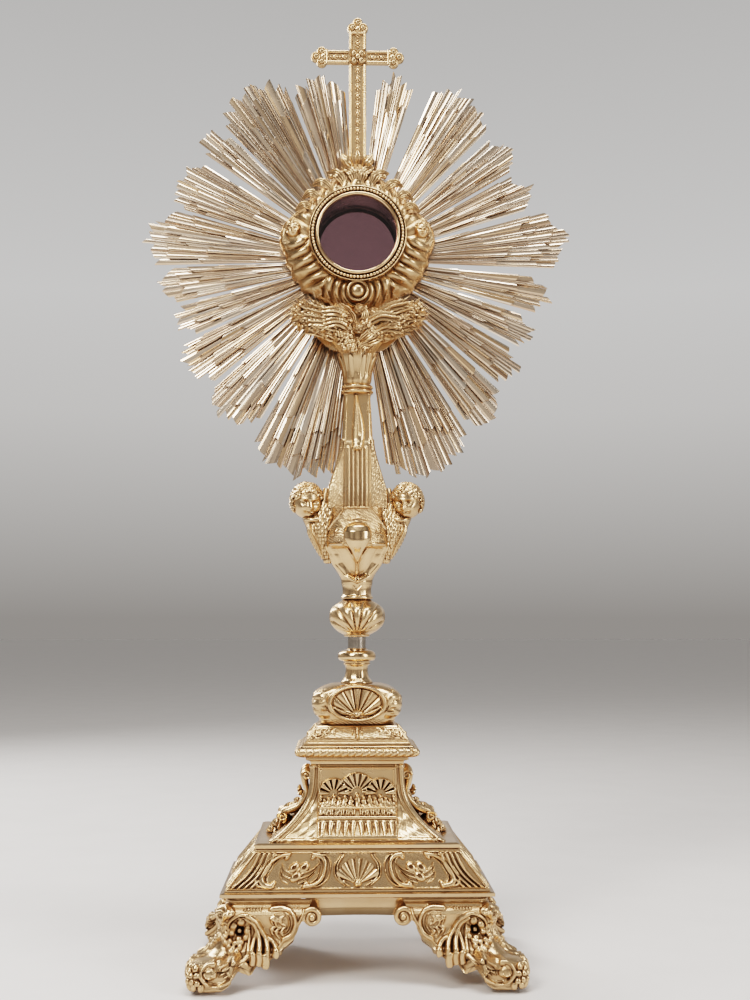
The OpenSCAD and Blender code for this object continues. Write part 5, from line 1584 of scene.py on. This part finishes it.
def scroll_panel(long):
    """Chased panel: slanting leaves at the ends, flowers in C-scrolls, a shell in the
    middle. The short sides carry one flower."""
    half_w = 91.6 if long else 56.6
    mid = 13.2
    r = Relief(2 * half_w, 2 * mid, 0.36)
    r.border(1.1, 0.7, 0.1)
    flowers = (47,) if long else (0,)
    for x in flowers:
        for s in (-1, 1):
            ring = (26 if s > 0 else 21) if long else 16
            for d, w, hgt in ((0, 4.2, 2.3), (4.4, 1.6, 1.3), (-4.0, 1.3, 0.9)):
                bow = [(13 - 0.4 * d, 11), (5.4 - 0.8 * d, 9.6 + 0.2 * d), (0.8 - d, 4.6),
                       (0.8 - d, -4.6), (5.4 - 0.8 * d, -9.6 - 0.2 * d), (12 - 0.4 * d, -11)]
                r.stroke(curve([(x + s * (ring - back), mid + up) for back, up in bow], 6), w,
                         hgt, (0.8, 0.9))
            r.dome(x + s * (ring - 12.4), mid + 9.2, 2.2, 2.2, 2.0)
            r.dome(x + s * (ring - 11.6), mid - 9.2, 2.2, 2.2, 2.0)
            for k in range(3):
                r.stroke(curve([(x + s * 4, mid - 8.6 + 3.2 * k),
                                (x + s * (9 + k), mid - 6.4 + 3.6 * k),
                                (x + s * (13.5 + k), mid - 1.2 + 3.2 * k)], 5), 1.7, 1.2,
                         (1, 0.4))
        for k in range(3):
            a = math.radians(120 * k + 180)
            px, py = x + 4.6 * math.sin(a), mid + 4.2 * math.cos(a)
            r.dome(px, py, 4.2, 3.9, 2.0)
            r.stroke([(px - 0.4, py), (px + 0.4, py)], 2.6, 1.6, sink=True)
        r.dome(x, mid, 1.8, 1.8, 2.4)
    for k in range(4 if long else 5):
        x = half_w - 4.2 - (4.4 if long else 4.9) * k
        for shift, w, hgt in ((0, 3.6, 2.1 - 0.12 * k), (-2.2, 1.0, 1.0)):
            r.stroke(curve([(x + 1.0 + shift, 1.8), (x - 2.4 + shift, 8.8),
                            (x - 2.8 + shift, 16.4), (x - 0.4 + shift, 24.4)], 6), w, hgt,
                     (0.7, 1))
    if long:
        r.fan(0, 3.6, 2.6, 18.6, -70, 70, 7, 2.2)
        r.dome(0, 4.6, 3.0, 2.6, 2.3)
        for k in range(2):
            r.stroke(curve([(6 + 3 * k, 2.8), (14 + 2.6 * k, 8 + k), (16.4 + 2 * k, 16.6),
                            (12.5 + 2 * k, 23.6)], 6), 2.2 - 0.5 * k, 1.6, (0.6, 1))
        r.beads([(10.2, 5.8), (13.4, 10.4)], 1.2, 1.4)
    r.H *= 1.2
    r.ground(1.0, 0.13)
    return r

def lower_panel_piece():
    z0, z1 = level("lower_panel")
    hx, hy = half("lower_panel", 0), half("lower_panel", 1)
    part = block([z0 + 0.02, z0 + 0.4, z0 + 1.4, z0 + 1.8, z1 - 1.9, z1 - 1.5, z1 - 0.5,
                  z1 - 0.02],
                 [2 * hx - 1, 2 * hx, 2 * hx - 0.2, 2 * hx - 2.4, 141.6, 142, 142, 141],
                 [2 * hy - 1, 2 * hy, 2 * hy - 0.2, 2 * hy - 2.4, 98.6, 99, 99, 98], 0.6, 60,
                 40)
    front = panel(scroll_panel(True), (hx - 1.3, -(hy - 0.9), z0 + 1.5),
                  (70.9, -49.2, z1 - 1.5), 1.0)
    side = panel(scroll_panel(False), (hy - 1.3, -(hx - 0.9), z0 + 1.5),
                 (49.3, -70.7, z1 - 1.5), 1.0)
    return part.join(four_sides(front, side))

lower_panel_piece().emit("chased_lower_panel", gilt_fine, replaces=("lower_panel",),
                         crease=50)

# ------------------------------------------------------------------ scroll feet

FOOT_TOP = level("foot_front_left")[1]
TOE_X, TOE_Y = -box("foot_front_left")[0][0], -box("foot_front_left")[0][1]
LEG_EDGE = [(0, 9), (2.4, 4), (6, 1), (12, 0), (16.8, 1), (21, 4.4), (22.8, 9), (23.6, 15),
            (27, 18.6), (33, 21.6), (39, 22.8), (44.5, 21), (48.4, 19.5), (51.5, 21.5),
            (54.5, 25.5), (58, 27)]
ARM_EDGE = [(0, 22), (3, 29), (8, 36), (13, 41), (15.4, 43.6), (16.4, 54), (18, 57.6),
            (20.4, 60.4), (25, 63.2), (28.4, 69), (31.6, 73.4), (35.6, 76), (39.3, 77.5),
            (43.4, 80), (48, 81.5), (52, 83), (56, 86), (58, 86.4)]
EYE_Z = 45.8

def foot_relief():
    """Ornament of one face of a foot; x runs from the corner inward, y is the height."""
    r = Relief(178, FOOT_TOP, 0.4)
    for h, w, rise in ((56.9, 1.5, 1.2), (54.6, 1.1, 0.8)):
        r.stroke([(26, h), (86, h)], w, rise)
    r.beads([(40.8 + 2.1 * k, 52.4) for k in range(6)], 0.95, 1.5, 0.2)
    # leaf knob under the plate, on the back of the leg
    r.leaf(curve([(33, 50.6), (28, 50), (22, 47)], 7), 6.4, 2.4, 3)
    r.stroke(curve([(17.6, 43.4), (21, 44.8), (25.6, 44.2)], 7), 2.8, 1.8, (0.7, 1))
    r.leaf(curve([(24.2, 43), (27, 37.6), (27.6, 33.4)], 7), 4.6, 2.0, 3)
    # leaf that curls over the flower, and the flower
    r.stroke(curve([(28.8, 35), (30.2, 43.2), (36.8, 48.2), (42.6, 48.4), (46.6, 45)], 8), 3.4,
             2.9, (0.5, 1))
    r.stroke(curve([(31.6, 41.6), (35.4, 45.6), (40.4, 46.4)], 7), 1.1, 2.2, (0.6, 1))
    for x, h, size in ((33.1, 39.9, 2.9), (38.2, 43, 3.0), (42.3, 37.4, 2.6), (36.6, 32.6, 2.5),
                       (31.6, 36.0, 2.3), (41.2, 33.4, 2.2)):
        r.dome(x, h, size, size, 2.7)
    r.stroke([(37, 37.2), (37.1, 37.8)], 6.2, 3.6, sink=True)
    r.dome(37.0, 37.5, 1.5, 1.5, 0.4)
    # hanging leaf with long flutes
    for points, w, rise, ends in (
            (((41.7, 48), (48.2, 44.1), (52.1, 37.4), (55.5, 31.4), (56.4, 23.5), (53.9, 16)),
             5.6, 4.2, (0.5, 0.86)),
            (((41.7, 45.5), (46.5, 42), (49.8, 35), (51, 28.1), (50.3, 17)), 5.6, 4.0,
             (0.5, 0.9)),
            (((48.2, 36.2), (46.7, 30.9), (45.4, 24), (46.2, 17)), 5.2, 3.4, (0.5, 0.9)),
            (((55.4, 33.7), (59.4, 31.4), (62.1, 27.4), (61.4, 22.2)), 5.0, 3.2, (0.6, 0.9)),
            (((43.4, 40), (43.8, 33), (43.0, 26), (43.4, 19)), 3.4, 2.4, (0.5, 0.9))):
        r.stroke(curve(points, 8), w, rise, ends)
    # grapes
    r.beads([(27.3, 33.8), (27.5, 30.4), (29.9, 28.1), (32.9, 27), (35.6, 25.7), (33.8, 24),
             (37.4, 27.8), (38.5, 30.6), (35.7, 22.6), (34.7, 21.1), (37.3, 23.3),
             (31.1, 25.5), (26.1, 32.6), (36, 30.3), (30.6, 31.2), (33.8, 29.8)], 2.1, 3.2,
            0.3)
    # toe scroll: a broad band round a raised eye, fine stripes behind it
    r.dome(18.9, 14.4, 5.0, 5.0, 2.9)
    r.stroke(spiral(18.9, 14.4, 4.2, 2.0, 90, 330, 24)[:, :2], 1.3, 3.4)
    r.stroke(curve([(21.6, 20.6), (17.4, 20.2), (13.9, 17.6), (12.9, 13.8), (14.2, 10),
                    (18.2, 6.6), (24, 5.6), (30.4, 8.2), (36, 12.6), (40, 17.4), (43, 21.6)],
                   7), 5.8, 3.2, (0.55, 0.7))
    r.stroke(curve([(16.4, 9.6), (19.6, 7.0), (24.2, 6.6), (30, 9.6), (35.6, 14), (40, 19)],
                   7), 1.2, 1.5, sink=True)
    r.stroke(curve([(25.2, 12), (26.4, 15), (25.4, 18.6)], 6), 1.4, 1.8, (0.6, 1))
    for points in (((26.9, 14.3), (35, 18.4)), ((26.2, 16.7), (33.9, 19.9)),
                   ((28.6, 12.2), (36.6, 17)), ((26, 19), (31, 21.2))):
        r.stroke(arr(points), 1.5, 1.7, (1, 0.6))
    r.stroke(curve([(20.9, 22.7), (24.4, 22.2), (27.6, 24.2)], 6), 2.2, 1.9, (0.8, 0.6))
    r.beads([(3.3, 17.8), (8.9, 18.6), (5.0, 13.6), (9.8, 13.6), (5.8, 8.3), (10.5, 7.4),
             (7.6, 3.8), (13, 3.6)], 2.5, 2.4, 0.2)
    r.stroke(curve([(15, 1.8), (24, 1.4), (31.6, 4.8)], 6), 2.4, 1.6, (1, 0.4))
    # second scroll, between the hanging leaf and the end of the arm
    r.stroke(curve([(58.6, 52.6), (67.5, 52.9), (73.4, 49.6), (75.2, 41.7), (72.4, 35.2),
                    (67.2, 32.2)], 8), 4.2, 3.0, (0.7, 0.8))
    r.stroke(curve([(61, 49), (66.4, 49.6), (70.2, 46.4), (71, 40.6), (68.6, 36.6)], 8), 1.6,
             1.8, (0.7, 0.8))
    r.leaf(curve([(58.4, 45.6), (62.5, 43.6), (68, 44)], 8), 4.6, 2.1, 3)
    r.leaf(curve([(58.2, 38.2), (63.2, 36.6), (69.1, 36.4)], 8), 3.8, 1.8, 3)
    r.stroke(curve([(57, 21), (63, 26.6), (67.6, 32), (74.4, 38), (79.2, 46), (81, 52)], 8),
             1.9, 1.7, (0.8, 1))
    r.ground(1.3, 0.14)
    return r

def sampled(relief, x, z):
    """Height of a relief at any point, blended from its four neighbours."""
    i = np.clip((x - relief.x[0]) / (relief.x[1] - relief.x[0]), 0, len(relief.x) - 1.001)
    j = np.clip((z - relief.y[0]) / (relief.y[1] - relief.y[0]), 0, len(relief.y) - 1.001)
    i0, j0 = i.astype(int), j.astype(int)
    u, v = i - i0, j - j0
    H = relief.H
    return ((1 - u) * (1 - v) * H[i0, j0] + u * (1 - v) * H[i0 + 1, j0]
            + (1 - u) * v * H[i0, j0 + 1] + u * v * H[i0 + 1, j0 + 1])

def eye_boss(part, x, y, nx, ny):
    """Round scroll end that stands out from an arm of the foot, with a coil on its face."""
    out = arr([nx, ny, 0])
    turn = spiral(0, 0, 6.3, 0.8, 200, -420, 80)
    q = np.linspace(0, 2 * np.pi, 40, endpoint=False)

    def face(points, depth):
        along = points[:, 0]
        return np.column_stack([x + (along if nx == 0 else 0 * along),
                                y + (along if ny == 0 else 0 * along),
                                EYE_Z + points[:, 1]]) - out * depth

    part.join(sweep(face(turn, -0.1), np.linspace(2.0, 1.1, 80), 10, up=(nx, ny, 0)))
    circle = np.column_stack([np.cos(q), np.sin(q)])
    part.join(loop_solid([face(circle * r, d) for r, d in
                          ((5.6, 0.2), (6.2, 0.8), (6.4, 2.2), (6.2, 5.4))]))
    part.join(ball((x + nx * 0.5, y + ny * 0.5, EYE_Z), 2.4, 16, 11))

def foot_piece():
    """Front left foot: a scroll leg whose two faces meet at a rounded corner."""
    relief = foot_relief()
    nz, nf, ns = 136, 196, 120
    z = np.linspace(0.02, FOOT_TOP - 0.02, nz)
    edge, arm = along_outline(LEG_EDGE, z), along_outline(ARM_EDGE, z)
    squeeze = 0.5
    arm_side = np.where(arm < 33, arm, 33 + (arm - 33) * squeeze)
    radius = 9.0
    start = radius * (1 - math.cos(math.pi / 4))

    def rounding(t):
        return radius - np.sqrt(np.clip(radius ** 2 - np.clip(radius - t, 0, None) ** 2, 0,
                                        None))

    rows, heights = [], []
    for k in range(nz):
        tf = np.linspace(arm[k] - edge[k], start, nf)
        ts = np.linspace(start, arm_side[k] - edge[k], ns)[1:]
        short = max(0.0, 17 - edge[k])
        lean_f = short * smooth01((tf + edge[k] - 33) / 11)
        lean_s = 0.7 * short * smooth01((ts + edge[k] - 30) / 8)
        front = np.column_stack([-TOE_X + edge[k] + tf,
                                 -TOE_Y + edge[k] + rounding(tf) + lean_f,
                                 np.full(nf, z[k])])
        side = np.column_stack([-TOE_X + edge[k] + rounding(ts) + lean_s,
                                -TOE_Y + edge[k] + ts, np.full(ns - 1, z[k])])
        rows.append(np.vstack([front, side]))
        real_s = np.where(ts + edge[k] < 33, ts + edge[k],
                          33 + (ts + edge[k] - 33) / squeeze)
        across = np.concatenate([tf + edge[k], real_s])
        heights.append(sampled(relief, across, np.full(len(across), z[k])))
    surface = np.stack(rows, 1)
    height = np.stack(heights, 1) - 1.6 - 2.2 * smooth01((5 - edge) / 5)[None, :]
    rim = smooth01(np.minimum(z, FOOT_TOP - z) / 1.2)[None, :]
    part = shell(surface, height * rim - 0.6 * (1 - rim), 7.0)
    # rounded tips of the hanging leaf, front and side
    for tip, top, low, wide in ((54.4, 24, 13.6, 2.9), (50.1, 25, 15.2, 2.5),
                                (45.6, 25, 15.6, 2.3), (61.6, 27, 20.6, 2.0)):
        t = np.linspace(0, 1, 22)
        swell = np.sqrt(np.clip(1 - (2 * t - 1) ** 8, 0.02, 1))
        height_t = top + (low - top) * t
        leg = along_outline(LEG_EDGE, height_t)
        set_back = leg + np.clip(17 - leg, 0, None)
        sway = 1.1 * np.sin(np.pi * t)
        at = -TOE_X + tip + sway
        part.join(sweep(np.column_stack([at, -TOE_Y + set_back - 0.2, height_t]), wide * swell,
                        14, 0.8))
        at_side = -TOE_Y + 33 + (tip - 33) * squeeze + 0.5 * sway
        part.join(sweep(np.column_stack([-TOE_X + set_back - 2.0, at_side, height_t]),
                        0.7 * wide * swell, 14, 1.1, up=(-1, 0, 0)))
    eye_boss(part, -31.4, -58.6, 0, -1)
    eye_boss(part, -91.6, -24.0, -1, 0)
    return part

def apron(reach, out_y):
    """Polished apron between two feet: hollow across, with a slightly arched lower edge."""
    rings = []
    s = np.linspace(0, 1, 13)
    for x in np.linspace(-reach, reach, 61):
        low = 45.7 + 0.8 * (1 - (x / reach) ** 2)
        z = FOOT_TOP + 0.1 - (FOOT_TOP + 0.1 - low) * s
        face = out_y + 1.3 * np.sin(np.pi * s)
        front = np.column_stack([np.full(13, x), face, z])
        back = np.column_stack([np.full(13, x), np.full(13, out_y + 2.6), z[::-1]])
        rings.append(np.vstack([front, back]))
    return loop_solid(rings)

for name, plate, first in (("long_aprons", apron(36, -54.9), 0),
                           ("side_aprons", apron(27, -(half("base_frame", 0) - 5.1)), 1)):
    aprons = Builder()
    for quarter in (first, first + 2):
        aprons.join(plate, lambda p, q=quarter: turn_side(p, q))
    aprons.emit(f"hollow_{name}", gilt_smooth, slot="polished_gilt", replaces=(name,))

foot = foot_piece()
for name, fx, fy in (("front_left", 1, 1), ("front_right", -1, 1), ("rear_left", 1, -1),
                     ("rear_right", -1, -1)):
    corner = Builder().join(foot, lambda p, s=(fx, fy, 1): p * s)
    corner.emit(f"scroll_foot_{name}", gilt, replaces=(f"foot_{name}",), crease=50)

# ------------------------------------------------------------------ kept CAD nodes

KEPT = {
    "base_frame": gilt_smooth, "middle_ledge": gilt_plain, "foot_screws": gilt_plain,
    "case_screws": gilt_plain,
    "spacer_tube": silver_tube, "luna_tube": silver_case, "door_frame": silver_case,
    "turn_button": silver_case, "glory_ring": silver_back, "glory_rivets": silver_back,
    "tie_rod": steel, "tie_washer": steel, "tie_nut": steel, "hinge_pin": steel,
    "button_screw": steel, "front_glass": clear, "rear_glass": clear}

for name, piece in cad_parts.items():
    finish = KEPT.get(name, gilt)
    if not piece.data.materials:
        piece.data.materials.append(finish)
    for index in range(len(piece.data.materials)):
        piece.data.materials[index] = finish
